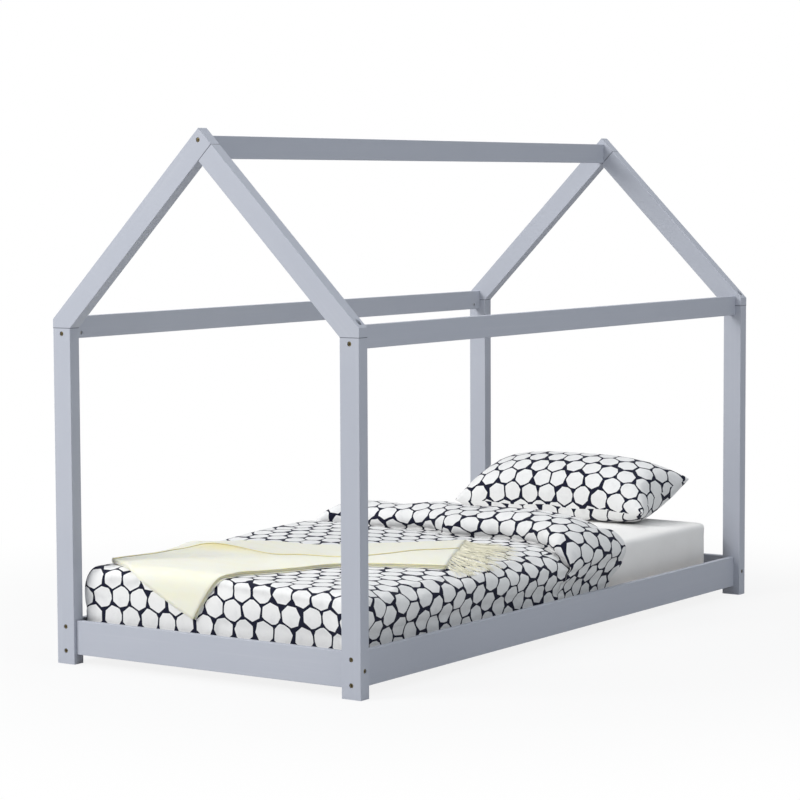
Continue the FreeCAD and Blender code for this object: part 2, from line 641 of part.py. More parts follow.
# Fasteners, each kind in one group of separate pieces
side_bolts = []
side_nuts = []
side_dowels = []
end_bolts = []
end_nuts = []
end_dowels = []
eaves_bolts = []
eaves_nuts = []
eaves_dowels = []
rafter_bolts = []
rafter_inserts = []
rafter_dowels = []
for end, side in CORNERS:
    ex = ENDS[end]
    sy = SIDES[side]
    corner = f"{end}_{side}"
    seat_x = f"{ex} * (half_length - bolt_sink)"
    nut_x = f"{ex} * (post_face_x - nut_setback)"
    dowel_x = f"{ex} * (post_face_x - dowel_length / 2)"
    for level_name, level in SIDE_BOLT_LEVELS.items():
        seat = (seat_x, f"{sy} * side_rail_y", level)
        side_bolts.append(bolt(f"side_bolt_{corner}_{level_name}", seat, inward_x(end), LONG_BOLT))
        start = (nut_x, f"{sy} * (side_rail_y - nut_length / 2)", level)
        side_nuts.append(barrel_nut(f"side_nut_{corner}_{level_name}", start, outward_y(side), "+x"))
    start = (dowel_x, f"{sy} * side_rail_y", SIDE_DOWEL_LEVEL)
    side_dowels.append(rod(f"side_dowel_{corner}", "dowel_radius", "dowel_length", start, outward_x(end)))
    seat = (f"{ex} * end_rail_x", f"{sy} * (half_width - bolt_sink)", "rail_middle")
    end_bolts.append(bolt(f"end_bolt_{corner}", seat, inward_y(side), END_BOLT))
    start = (f"{ex} * (end_rail_x - nut_length / 2)", f"{sy} * (post_face_y - nut_setback)", "rail_middle")
    end_nuts.append(barrel_nut(f"end_nut_{corner}", start, outward_x(end), "+y"))
    for level_name, level in END_DOWEL_LEVELS.items():
        start = (f"{ex} * end_rail_x", f"{sy} * (post_face_y - dowel_length / 2)", level)
        dowel_name = f"end_dowel_{corner}_{level_name}"
        end_dowels.append(rod(dowel_name, "dowel_radius", "dowel_length", start, outward_y(side)))
    seat = (seat_x, f"{sy} * eaves_beam_y", EAVES_BOLT_LEVEL)
    eaves_bolts.append(bolt(f"eaves_bolt_{corner}", seat, inward_x(end), LONG_BOLT))
    start = (nut_x, f"{sy} * (eaves_beam_y - nut_length / 2)", EAVES_BOLT_LEVEL)
    eaves_nuts.append(barrel_nut(f"eaves_nut_{corner}", start, outward_y(side), "+x"))
    start = (dowel_x, f"{sy} * eaves_beam_y", EAVES_DOWEL_LEVEL)
    eaves_dowels.append(rod(f"eaves_dowel_{corner}", "dowel_radius", "dowel_length", start, outward_x(end)))
    seat = (f"{ex} * post_middle_x", f"{sy} * ({RAFTER_BOLT_Y})", "post_height + rafter_bolt_rise")
    rafter_bolts.append(bolt(f"rafter_bolt_{corner}", seat, TURNS["-z"], RAFTER_BOLT))
    start = (f"{ex} * post_middle_x", f"{sy} * ({RAFTER_BOLT_Y})", "post_height")
    rafter_inserts.append(threaded_insert(f"rafter_insert_{corner}", start, TURNS["-z"]))
    start = (f"{ex} * post_middle_x", f"{sy} * ({RAFTER_DOWEL_Y})", "post_height - dowel_length / 2")
    rafter_dowels.append(rod(f"rafter_dowel_{corner}", "dowel_radius", "dowel_length", start))
group("side_rail_bolts", side_bolts)
group("side_rail_nuts", side_nuts)
group("side_rail_dowels", side_dowels)
group("end_rail_bolts", end_bolts)
group("end_rail_nuts", end_nuts)
group("end_rail_dowels", end_dowels)
group("eaves_bolts", eaves_bolts)
group("eaves_nuts", eaves_nuts)
group("eaves_dowels", eaves_dowels)
group("rafter_bolts", rafter_bolts)
group("rafter_inserts", rafter_inserts)
group("rafter_dowels", rafter_dowels)

ridge_bolts = []
ridge_nuts = []
ridge_dowels = []
apex_bolts = []
apex_inserts = []
apex_dowels = []
for end, ex in ENDS.items():
    middle_x = f"{ex} * post_middle_x"
    way = TURNS["down the right slope"]
    seat = (f"{ex} * (half_length - bolt_sink)", "0", RIDGE_BOLT_LEVEL)
    ridge_bolts.append(bolt(f"ridge_bolt_{end}", seat, inward_x(end), LONG_BOLT))
    start = (f"{ex} * (post_face_x - nut_setback)", "nut_length / 2", RIDGE_BOLT_LEVEL)
    ridge_nuts.append(barrel_nut(f"ridge_nut_{end}", start, TURNS["-y"], "+x"))
    start = (f"{ex} * (post_face_x - dowel_length / 2)", "0", RIDGE_DOWEL_LEVEL)
    ridge_dowels.append(rod(f"ridge_dowel_{end}", "dowel_radius", "dowel_length", start, outward_x(end)))
    seat = (
        middle_x,
        "(apex_bolt_depth - bolt_sink) / sqrt(2)",
        "inner_ridge + (2 * rafter_height - apex_bolt_depth - bolt_sink) / sqrt(2)",
    )
    apex_bolts.append(bolt(f"apex_bolt_{end}", seat, way, APEX_BOLT))
    start = (
        middle_x,
        "(apex_bolt_depth - rafter_height) / sqrt(2)",
        "inner_ridge + (rafter_height - apex_bolt_depth) / sqrt(2)",
    )
    apex_inserts.append(threaded_insert(f"apex_insert_{end}", start, way))
    start = (
        middle_x,
        "(apex_dowel_depth - rafter_height + dowel_length / 2) / sqrt(2)",
        "inner_ridge + (rafter_height - apex_dowel_depth + dowel_length / 2) / sqrt(2)",
    )
    apex_dowels.append(rod(f"apex_dowel_{end}", "dowel_radius", "dowel_length", start, way))
group("ridge_bolts", ridge_bolts)
group("ridge_nuts", ridge_nuts)
group("ridge_dowels", ridge_dowels)
group("apex_bolts", apex_bolts)
group("apex_inserts", apex_inserts)
group("apex_dowels", apex_dowels)

ledger_screws = []
slat_screws = []
for side, sy in SIDES.items():
    for index in range(LEDGER_SCREW_COUNT):
        seat = (screw_x(index), f"{sy} * (inner_width / 2 - ledger_width)", LEDGER_SCREW_LEVEL)
        ledger_screws.append(
            screw(f"ledger_screw_{side}_{index}", seat, outward_y(side), "ledger_screw_length")
        )
    for index in range(SLAT_COUNT):
        seat = (slat_x(index), f"{sy} * ledger_y", "slat_top")
        slat_screws.append(screw(f"slat_screw_{side}_{index}", seat, TURNS["-z"], "slat_screw_length"))
group("ledger_screws", ledger_screws)
group("slat_screws", slat_screws)


# Bedding
def point(x, y, z):
    return FreeCAD.Vector(x, y, z)


def line(start, end):
    return Part.LineSegment(start, end).toShape()


def arc(start, middle, end):
    return Part.Arc(start, middle, end).toShape()


def soft(label, shape):
    """Soft piece, whose shape is lofted from the sizes in the sheet."""
    feature = doc.addObject("Part::Feature", label)
    feature.Shape = shape
    feature.Placement = FreeCAD.Placement()
    return node(label, feature)


def mattress_outline(level, inset):
    """Level outline of the mattress with round corners, drawn in by an inset."""
    middle = size("mattress_middle")
    along = size("mattress_length") / 2 - inset
    across = size("mattress_width") / 2 - inset
    radius = size("mattress_corner")
    cut_back = radius * (1 - math.sqrt(0.5))
    edges = []
    previous = None
    for sx, sy in ((1, -1), (1, 1), (-1, 1), (-1, -1)):
        side_end = point(middle + sx * along, sy * (across - radius), level)
        bend = point(middle + sx * (along - cut_back), sy * (across - cut_back), level)
        end_end = point(middle + sx * (along - radius), sy * across, level)
        first, last = (end_end, side_end) if sx * sy < 0 else (side_end, end_end)
        if previous is not None:
            edges.append(line(previous, first))
        edges.append(arc(first, bend, last))
        previous = last
    edges.append(line(previous, edges[0].Vertexes[0].Point))
    return Part.Wire(edges)


# Soft top edge of the mattress: distance below the edge, and drawn in, as shares of the hem
HEM_STEPS = [(1.0, 0.0), (0.3, 0.3), (0.0, 1.0)]
# Crowned top of the mattress: height as a share of the crown, drawn in as a share of the flat half width
CROWN_STEPS = [(0.7, 0.4), (1.0, 0.8)]


def mattress_form():
    """Mattress with soft edges and a crowned top, as a stack of outlines."""
    bottom = size("slat_top")
    top = size("mattress_top")
    hem = size("mattress_hem")
    crown = size("mattress_crown")
    narrow = size("mattress_width") / 2 - size("mattress_corner")
    levels = [(bottom, hem), (bottom + hem, 0)]
    levels += [(top - below * hem, inset * hem) for below, inset in HEM_STEPS]
    levels += [(top + above * crown, inset * narrow) for above, inset in CROWN_STEPS]
    return Part.makeLoft([mattress_outline(level, inset) for level, inset in levels], True, True)


soft("mattress", mattress_form())


def duvet_section(x, slant, half, top, grow):
    """Slice across the duvet: swelling sides, round shoulders and a crowned top."""
    swell = size("duvet_swell")
    shoulder = size("duvet_shoulder")
    crown = size("duvet_crown")
    low = size("slat_top")
    wide = half + grow
    high = top + grow
    bend = shoulder * (1 - math.sqrt(0.5))

    def at(y, z):
        return point(x + slant * y, y, z)

    middle_z = (low + high - shoulder) / 2
    edges = [
        line(at(-wide, low), at(wide, low)),
        arc(at(wide, low), at(wide + swell, middle_z), at(wide, high - shoulder)),
        arc(at(wide, high - shoulder), at(wide - bend, high - bend), at(wide - shoulder, high)),
        arc(at(wide - shoulder, high), at(0, high + crown), at(shoulder - wide, high)),
        arc(at(shoulder - wide, high), at(bend - wide, high - bend), at(-wide, high - shoulder)),
        arc(at(-wide, high - shoulder), at(-wide - swell, middle_z), at(-wide, low)),
    ]
    return Part.Wire(edges)


# Edge of the folded-back flap, and round fold: distance from the edge and height, as shares of the loft
FLAP_EDGE_STEPS = [(0.0, 0.0), (0.2, 0.6), (1.0, 1.0)]
FOLD_STEPS = [(1.0, 1.0), (0.3, 0.6)]


def duvet_form(grow):
    """Outside of the duvet, from its rounded foot end to the round fold at its head end."""
    foot = size("duvet_foot") - grow
    shoulder = size("duvet_shoulder")
    half = size("duvet_half")
    top = size("duvet_top")
    flap = size("flap_loft")
    fold = size("duvet_foot + duvet_cover")
    flap_edge = fold - size("flap_width")
    edge_slant = size("flap_slant")
    fold_slant = size("fold_slant")
    bend = shoulder * (1 - math.sqrt(0.5))
    slices = [
        (foot, 0, half - shoulder, top - shoulder),
        (foot + bend, 0, half - bend, top - bend),
        (foot + shoulder, 0, half, top),
    ]
    for along, up in FLAP_EDGE_STEPS:
        slices.append((flap_edge + along * flap, edge_slant, half, top + up * flap))
    for along, up in FOLD_STEPS:
        slices.append((fold - along * flap, fold_slant, half, top + up * flap))
    slices.append((fold, fold_slant, half - bend, top - bend))
    sections = [duvet_section(x, slant, wide, high, grow) for x, slant, wide, high in slices]
    return Part.makeLoft(sections, True, True)


def duvet_room():
    """Room below the hem and for the mattress, with upright sides so that the duvet lifts off."""
    fit = size("duvet_fit")
    outline = Part.Face(mattress_outline(0, -fit))
    room = outline.extrude(point(0, 0, size("mattress_top + mattress_crown") + fit))
    length = size("bed_length")
    width = size("bed_width")
    below = Part.makeBox(length, width, size("duvet_hem"), point(-length / 2, -width / 2, 0))
    return room.fuse(below)


soft("duvet", duvet_form(0).cut(duvet_room()))


# Outline of the folded throw where it lies: distance from the foot of the duvet, and to the left
THROW_OUTLINE = [
    (100, 420),
    (400, 405),
    (512, 355),
    (569, 245),
    (602, 100),
    (697, 20),
    (932, -169),
    (526, -367),
    (432, -220),
    (327, -125),
    (153, -57),
    (90, -28),
    (0, -40),
]
# Corner of the throw that hangs over the foot end: distance to the left, and down from the top
THROW_CORNER = [
    (330, 0),
    (53, 104),
    (0, 34),
    (-40, 0),
]


def throw_form():
    """Folded cloth that follows the duvet and hangs over its foot end by one corner."""
    gap = size("throw_gap")
    foot = size("duvet_foot")
    top = size("duvet_top")
    shoulder = size("duvet_shoulder")
    reach = gap + size("throw_thickness")
    outer = duvet_form(reach)
    inner = duvet_form(gap)
    depth = shoulder + size("duvet_crown") + reach
    lying = [point(foot + ahead, left, top - shoulder) for ahead, left in THROW_OUTLINE]
    lying += [point(foot - shoulder, THROW_OUTLINE[-1][1], top - shoulder)]
    lying += [point(foot - shoulder, THROW_CORNER[0][0], top - shoulder)]
    lying_prism = Part.Face(Part.makePolygon(lying + lying[:1])).extrude(point(0, 0, 2 * depth))
    hanging = [point(foot - shoulder, left, top - down) for left, down in THROW_CORNER]
    hanging_prism = Part.Face(Part.makePolygon(hanging + hanging[:1])).extrude(point(2 * shoulder, 0, 0))
    return outer.cut(inner).common(lying_prism.fuse(hanging_prism))


soft("throw", throw_form())


def pillow_outline(level, corner, along, across):
    """Outline of the pillow at one level: four arcs that draw in, or swell out, between the corners."""
    half_depth = size("pillow_depth / 2")
    half_length = size("pillow_length / 2")
    draw = size("pillow_draw")
    corners = [
        point(half_depth * corner, -half_length * corner, level),
        point(half_depth * corner, half_length * corner, level),
        point(-half_depth * corner, half_length * corner, level),
        point(-half_depth * corner, -half_length * corner, level),
    ]
    middles = [
        point((half_depth - draw) * along, 0, level),
        point(0, (half_length - draw) * across, level),
        point((draw - half_depth) * along, 0, level),
        point(0, (draw - half_length) * across, level),
    ]
    edges = [arc(corners[i], middles[i], corners[(i + 1) % 4]) for i in range(4)]
    return Part.Wire(edges)


def pillow_form():
    """Stuffed pillow: full in the middle, thin at its seams and corners, flat where it lies on the mattress."""
    half = size("pillow_half_height")
    # Height as a share of the crown, then the corners and the middles of the sides as shares of the seam's
    profile = [
        (0.06, 0.985, 0.990, 0.990),
        (0.30, 0.855, 0.955, 0.960),
        (0.55, 0.715, 0.845, 0.870),
        (0.78, 0.540, 0.655, 0.710),
        (0.93, 0.340, 0.405, 0.490),
        (1.0, 0.120, 0.160, 0.210),
    ]
    lower = [(-height, *shares) for height, *shares in reversed(profile)]
    outlines = []
    for height, *shares in lower + profile:
        outlines.append(pillow_outline(half * height, *shares))
    shape = Part.makeLoft(outlines, True, True)
    shape.rotate(point(0, 0, 0), point(0, 1, 0), -size("pillow_tilt"))
    rest = size("mattress_top + mattress_crown")
    middle_x = size("mattress_middle + mattress_length / 2 - pillow_head_gap")
    shape.translate(point(middle_x, size("pillow_side_shift"), rest + size("pillow_lift")))
    below = mattress_form()
    below.translate(point(0, 0, size("pillow_rest_gap")))
    return shape.cut(below)


soft("pillow", pillow_form())

# Check everything, then write one file for each sub-part
doc.recompute()
for obj in doc.Objects:
    faults = {"Invalid", "Error"} & set(obj.State)
    if faults:
        raise RuntimeError(f"{obj.Name} has failed: {obj.State}")
for obj in nodes:
    if obj.Shape.isNull() or not obj.Shape.isValid():
        raise RuntimeError(f"{obj.Label} has no valid shape")

os.makedirs("parts", exist_ok=True)
for obj in nodes:
    obj.Shape.exportStep(f"parts/{obj.Label}.step")
    print(f"{obj.Label}: {len(obj.Shape.Solids)} solid(s), {obj.Shape.Volume / 1000:.1f} cm3")
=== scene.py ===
"""A child's house bed, dressed: painted timber frame, slatted base, mattress and bedding."""
import math
import random

import bpy
import numpy as np
from mathutils import Matrix, Vector, noise
from mathutils.bvhtree import BVHTree


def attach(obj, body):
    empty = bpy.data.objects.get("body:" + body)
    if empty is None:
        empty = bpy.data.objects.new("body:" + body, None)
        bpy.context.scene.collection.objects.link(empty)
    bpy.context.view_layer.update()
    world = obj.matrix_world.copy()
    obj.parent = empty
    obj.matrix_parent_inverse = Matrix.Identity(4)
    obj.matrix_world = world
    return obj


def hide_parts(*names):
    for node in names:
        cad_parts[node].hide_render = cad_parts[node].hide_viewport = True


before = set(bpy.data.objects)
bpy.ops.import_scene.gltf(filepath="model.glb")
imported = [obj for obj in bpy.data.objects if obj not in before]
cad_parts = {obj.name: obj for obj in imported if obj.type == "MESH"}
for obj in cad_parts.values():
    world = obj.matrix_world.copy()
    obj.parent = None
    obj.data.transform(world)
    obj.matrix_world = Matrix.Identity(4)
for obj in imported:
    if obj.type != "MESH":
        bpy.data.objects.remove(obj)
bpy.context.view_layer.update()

# Painted frame: posts, rafters, eaves and ridge beams, and the four rails.
# Planed softwood bars with eased edges, sprayed with a lilac grey satin paint that just shows the grain.
# Each bar comes ready cut and drilled, and is pulled up against its neighbour by bolts and dowels.
PAINT_COLOUR = (0.425, 0.447, 0.505, 1.0)
PAINT_THIN_COLOUR = (0.450, 0.470, 0.525, 1.0)
# Painted shade: a thin dark line where the gap between two bars would lie in shadow
JOINT_SHADE_COLOUR = (0.105, 0.112, 0.135, 1.0)
JOINT_LINE = 0.0009


class Wire:
    """An output socket in a material. Arithmetic on it adds Math nodes to the same material."""

    def __init__(self, tree, socket):
        self.tree = tree
        self.socket = socket

    def node(self, kind, settings, sockets, output=0):
        """Add any other node: its settings first, then the values or links of its sockets."""
        made = self.tree.nodes.new(kind)
        for name, value in settings.items():
            setattr(made, name, value)
        for name, value in sockets.items():
            if isinstance(value, Wire):
                self.tree.links.new(value.socket, made.inputs[name])
            else:
                made.inputs[name].default_value = value
        return Wire(self.tree, made.outputs[output])

    def maths(self, operation, *values):
        return self.node("ShaderNodeMath", {"operation": operation}, dict(enumerate(values)))

    def __add__(self, other):
        return self.maths("ADD", self, other)

    def __sub__(self, other):
        return self.maths("SUBTRACT", self, other)

    def __rsub__(self, other):
        return self.maths("SUBTRACT", other, self)

    def __mul__(self, other):
        return self.maths("MULTIPLY", self, other)

    def __truediv__(self, other):
        return self.maths("DIVIDE", self, other)

    __radd__ = __add__
    __rmul__ = __mul__

    def step(self, low, high):
        """0 below the low value, 1 above the high one, smooth in between."""
        limits = {"Value": self, "From Min": low, "From Max": high}
        return self.node("ShaderNodeMapRange", {"interpolation_type": "SMOOTHSTEP"}, limits)

    def tint(self, none, full):
        """Colour between two colours, by this value."""
        return self.node("ShaderNodeMix", {"data_type": "RGBA"}, {0: self, 6: none, 7: full}, 2)

    def axes(self):
        """The three numbers of this vector."""
        return [self.node("ShaderNodeSeparateXYZ", {}, {"Vector": self}, i) for i in range(3)]

    def stretched(self, turn, scale):
        """This place, turned and then scaled along each axis."""
        settings = {"vector_type": "TEXTURE"}
        sizes = tuple(1 / s for s in scale)
        return self.node("ShaderNodeMapping", settings, {"Vector": self, "Rotation": turn, "Scale": sizes})

    def noise(self, scale, detail=2.0, roughness=0.5):
        """Soft random value from 0 to 1 at this place."""
        sockets = {"Vector": self, "Scale": scale, "Detail": detail, "Roughness": roughness}
        return self.node("ShaderNodeTexNoise", {}, sockets)

    def bump(self, distance, strength=1.0):
        """Surface direction for this height, whose full range is the distance."""
        return self.node("ShaderNodeBump", {}, {"Height": self, "Distance": distance, "Strength": strength})


def finish(name, constants, place="Object"):
    """New material with the values that are the same all over, and the place on the piece."""
    material = bpy.data.materials.new(name)
    material.use_nodes = True
    tree = material.node_tree
    for socket, value in constants.items():
        tree.nodes["Principled BSDF"].inputs[socket].default_value = value
    return material, Wire(tree, tree.nodes.new("ShaderNodeTexCoord").outputs[place])


def feed(material, **wires):
    """Link what changes over the surface to the material's shader, and hand the material back."""
    tree = material.node_tree
    for name, wire in wires.items():
        tree.links.new(wire.socket, tree.nodes["Principled BSDF"].inputs[name.replace("_", " ")])
    return material


def cover(names, material):
    """Give CAD nodes a material."""
    for name in names:
        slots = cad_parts[name].data.materials
        slots.clear()
        slots.append(material)


def corners_of(name):
    """All the corners of a CAD node's mesh, in the bed's frame."""
    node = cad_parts[name]
    return [node.matrix_world @ corner.co for corner in node.data.vertices]


def grain_scale(axis, along, across):
    """Scale of grain that runs along one axis."""
    scale = [across] * 3
    scale[axis] = along
    return scale


POST_TOP = max(corner.z for corner in corners_of("post_foot_right"))
APEX_JOINT = max(corner.y + corner.z for corner in corners_of("rafter_foot_right"))


def joint_gap_shade(place, butts):
    """Painted shade of the open joint gap at a post's top, and at the apex on the rafter that butts against
    the other.
    """
    _, y, z = place.axes()
    nearest = z.maths("ABSOLUTE", z - POST_TOP)
    if butts:
        at_apex = y.maths("ABSOLUTE", (y + z - APEX_JOINT) * math.sqrt(0.5))
        nearest = nearest.maths("MINIMUM", nearest, at_apex * 0.6)
    return 1 - nearest.step(JOINT_LINE * 0.7, JOINT_LINE * 1.3)


def satin_paint(name, turn, along):
    """Satin paint over softwood whose grain runs along one of the bar's turned axes."""
    material, place = finish(name, {"Specular IOR Level": 0.2})
    grain = place.stretched(turn, grain_scale(along, 2.2, 150.0)).noise(1.0, 4.0, 0.6)
    cloud = place.noise(5.0, 3.0)
    spray = place.noise(900.0, 1.0)
    thin = grain.step(0.52, 0.72) * 0.55 + cloud.step(0.3, 0.75) * 0.45
    colour = thin.tint(PAINT_COLOUR, PAINT_THIN_COLOUR)
    if along != 0:
        # Painted shade of the joint gaps darkens the paint along them.
        colour = joint_gap_shade(place, turn[0] > 0).tint(colour, JOINT_SHADE_COLOUR)
    return feed(
        material,
        Base_Color=colour,
        Roughness=0.44 + cloud * 0.10 + grain * 0.06,
        Normal=(grain * 0.85 + spray * 0.15).bump(0.00015, 0.30),
    )


ENDS = ("foot", "head")
SIDES = ("right", "left")
LEVEL = (0.0, 0.0, 0.0)
SLOPE = math.radians(45)
cover([f"post_{end}_{side}" for end in ENDS for side in SIDES], satin_paint("paint_upright", LEVEL, 2))
lengthwise = ["ridge_beam"] + [f"{bar}_{side}" for bar in ("eaves_beam", "side_rail") for side in SIDES]
cover(lengthwise, satin_paint("paint_lengthwise", LEVEL, 0))
cover(["foot_rail", "head_rail"], satin_paint("paint_crosswise", LEVEL, 1))
for side, slope in zip(SIDES, (SLOPE, -SLOPE)):
    cover([f"rafter_{end}_{side}" for end in ENDS], satin_paint(f"paint_{side}_slope", (slope, 0.0, 0.0), 1))

# Slats and ledgers: planed pine boards left bare, because the mattress hides most of them.
# The ledgers are screwed inside the side rails, and the slats lie across them with a screw at each end.
PINE_EARLY_COLOUR = (0.640, 0.450, 0.240, 1.0)
PINE_LATE_COLOUR = (0.420, 0.235, 0.095, 1.0)


def bare_pine(name, along):
    """Planed pine with growth lines that run along one axis."""
    material, place = finish(name, {"Specular IOR Level": 0.3})
    rings = place.stretched(LEVEL, grain_scale(along, 1.1, 26.0)).noise(1.0, 1.0, 0.4)
    lines = (rings * 9.0).maths("PINGPONG", rings * 9.0, 1.0)
    fibre = place.stretched(LEVEL, grain_scale(along, 9.0, 480.0)).noise(1.0, 3.0, 0.6)
    late = lines.step(0.45, 0.95) * 0.55 + fibre * 0.25
    return feed(
        material,
        Base_Color=late.tint(PINE_EARLY_COLOUR, PINE_LATE_COLOUR),
        Roughness=0.58 + fibre * 0.2,
        Normal=(fibre * 0.6 + lines * 0.4).bump(0.0003, 0.4),
    )


slats = [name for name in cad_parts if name.startswith("slat_") and name != "slat_screws"]
cover(slats, bare_pine("pine_cross", 1))
cover([f"ledger_{side}" for side in SIDES], bare_pine("pine_long", 0))

# Fasteners: bolts plated in antique brass, zinc-plated nuts, inserts and screws, and turned beech dowels.
# Bolt heads sit in round pockets in the posts and rafters, and the barrel nuts show on the inner faces.
JOINTS = ("side_rail", "end_rail", "eaves", "ridge", "rafter", "apex")
BRASS_COLOUR = (0.090, 0.075, 0.045, 1.0)
BRASS_WORN_COLOUR = (0.30, 0.245, 0.13, 1.0)
ZINC_COLOUR = (0.50, 0.50, 0.48, 1.0)
ZINC_WORN_COLOUR = (0.64, 0.64, 0.62, 1.0)
BEECH_COLOUR = (0.55, 0.36, 0.20, 1.0)
BEECH_FLECK_COLOUR = (0.42, 0.25, 0.13, 1.0)


def plated_metal(name, colour, worn_colour, roughness):
    """Plated steel, a little worn and smeared."""
    material, place = finish(name, {"Metallic": 1.0})
    smear = place.noise(260.0, 4.0, 0.65)
    return feed(
        material,
        Base_Color=smear.step(0.45, 0.75).tint(colour, worn_colour),
        Roughness=roughness + smear * 0.2,
        Normal=smear.bump(0.0001, 0.3),
    )


def turned_beech():
    """Turned dowel with fine flecks."""
    material, place = finish("beech", {"Specular IOR Level": 0.3})
    fleck = place.noise(600.0, 3.0, 0.6)
    return feed(
        material,
        Base_Color=fleck.step(0.4, 0.7).tint(BEECH_COLOUR, BEECH_FLECK_COLOUR),
        Roughness=0.6 + fleck * 0.2,
        Normal=fleck.bump(0.0002, 0.4),
    )


antique_brass = plated_metal("antique_brass", BRASS_COLOUR, BRASS_WORN_COLOUR, 0.26)
zinc = plated_metal("zinc", ZINC_COLOUR, ZINC_WORN_COLOUR, 0.28)
cover([f"{joint}_bolts" for joint in JOINTS], antique_brass)
cover([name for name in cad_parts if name.endswith(("_nuts", "_inserts", "_screws"))], zinc)
cover([f"{joint}_dowels" for joint in JOINTS], turned_beech())

# Mattress: a foam block in an off-white cotton sheet whose elastic hem draws it tight.
# It lies loose on the slats, clear of the rails all round, with a slightly crowned top and soft edges.
MATTRESS_LOW = np.array((-0.955, -0.405, 0.0702))
MATTRESS_HIGH = np.array((0.945, 0.405, 0.225))
MATTRESS_CROWN = 0.0105
MATTRESS_ROUNDING = np.array((0.024, 0.024, 0.014))
MATTRESS_PITCH = (0.016, 0.016, 0.009)
SHEET_SWELL = 0.0006
SHEET_CREASE = 0.0018
SHEET_INSET = 0.0012
SHEET_COLOUR = (0.895, 0.886, 0.866, 1.0)
SHEET_SHADE_COLOUR = (0.855, 0.846, 0.824, 1.0)


def stations(low, high, pitch):
    """Even steps from low to high, about a pitch apart."""
    return np.linspace(low, high, max(2, round((high - low) / pitch) + 1))


def rounded(points, low, high, radius):
    """Points of a square-edged box moved onto one with round edges, and their outward directions."""
    fold_shade_and_hem = np.clip(points, low + radius, high - radius)
    away = (points - fold_shade_and_hem) / radius
    away /= np.maximum(np.linalg.norm(away, axis=-1, keepdims=True), 1e-9)
    outward = away / radius
    outward /= np.maximum(np.linalg.norm(outward, axis=-1, keepdims=True), 1e-9)
    return fold_shade_and_hem + away * radius, outward


def ripple(points, size, seed):
    """Smooth random value from about -1 to 1 at each point, with bumps of the given size."""
    shift = Vector((seed * 7.31, seed * 3.17, seed * 5.77))
    values = [noise.noise(Vector(p) / size + shift) for p in points.reshape(-1, 3)]
    return np.array(values).reshape(points.shape[:-1])


def quads(index, flip=False):
    """Four-sided faces of a grid of point numbers."""
    corners = (index[:-1, :-1], index[1:, :-1], index[1:, 1:], index[:-1, 1:])
    faces = np.stack(corners, axis=-1).reshape(-1, 4)
    return faces[:, ::-1] if flip else faces


def soft_piece(name, points, faces, cloth=None):
    """Smooth mesh object from points and faces, and a cloth map in metres if the faces' corners have one."""
    mesh = bpy.data.meshes.new(name)
    mesh.from_pydata(points.tolist(), [], faces.tolist())
    if cloth is not None:
        layer = mesh.uv_layers.new(name="cloth")
        layer.data.foreach_set("uv", np.asarray(cloth, np.float32).ravel())
    mesh.validate()
    mesh.shade_smooth()
    piece = bpy.data.objects.new(name, mesh)
    bpy.context.scene.collection.objects.link(piece)
    return piece


def places(piece):
    """All the points of a piece's mesh."""
    flat = np.zeros(len(piece.data.vertices) * 3)
    piece.data.vertices.foreach_get("co", flat)
    return flat.reshape(-1, 3)


def move_to(piece, points):
    """Put the points of a piece's mesh at new places."""
    piece.data.vertices.foreach_set("co", points.ravel())
    piece.data.update()


def make_real(piece, modifier):
    """Turn what a modifier does into the piece's own mesh."""
    bpy.ops.object.select_all(action="DESELECT")
    piece.select_set(True)
    bpy.context.view_layer.objects.active = piece
    bpy.ops.object.modifier_apply(modifier=modifier.name)


def refine(piece):
    """Smooth a piece by one round of subdivision."""
    modifier = piece.modifiers.new("smooth", "SUBSURF")
    modifier.levels = 1
    modifier.render_levels = 1
    make_real(piece, modifier)


def dress(piece, material, body, slot, *nodes):
    """Give a piece its material and its body, and hide the CAD nodes that it stands for. The slot is not
    used.
    """
    piece.data.materials.append(material)
    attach(piece, body)
    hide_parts(*nodes)


def box_shell(*spans):
    """Points and faces of a closed box that is divided at the stations along each axis."""
    points = np.stack(np.meshgrid(*spans, indexing="ij"), axis=-1)
    numbers = np.arange(points[..., 0].size).reshape(points.shape[:-1])
    faces = []
    for axis in range(3):
        for end, flip in ((0, axis != 1), (-1, axis == 1)):
            faces.append(quads(numbers.take(end, axis), flip))
    faces = np.concatenate(faces)
    used, renumbered = np.unique(faces, return_inverse=True)
    return points.reshape(-1, 3)[used], renumbered.reshape(faces.shape)


def cotton_weave(place, pitch):
    """Height of a plain weave with the given pitch."""
    threads = []
    for axis in range(2):
        settings = {"wave_type": "BANDS", "bands_direction": "XY"[axis], "wave_profile": "SIN"}
        sockets = {"Vector": place, "Scale": 0.314 / pitch, "Distortion": 0.6, "Detail": 1.0}
        threads.append(place.node("ShaderNodeTexWave", settings, sockets, 1))
    return threads[0] * 0.5 + threads[1] * 0.5


def fitted_sheet():
    """Plain off-white cotton, with faint painted shade where its creases lie."""
    material, place = finish("fitted_sheet", {"Sheen Weight": 0.12, "Specular IOR Level": 0.25})
    crease = place.noise(7.0, 4.0, 0.6)
    return feed(
        material,
        # Painted shade: darker where the crease noise is high.
        Base_Color=crease.step(0.35, 0.8).tint(SHEET_COLOUR, SHEET_SHADE_COLOUR),
        Roughness=0.82 + crease * 0.12,
        Normal=(cotton_weave(place, 0.0011) * 0.35 + crease * 0.65).bump(0.0009, 0.35),
    )


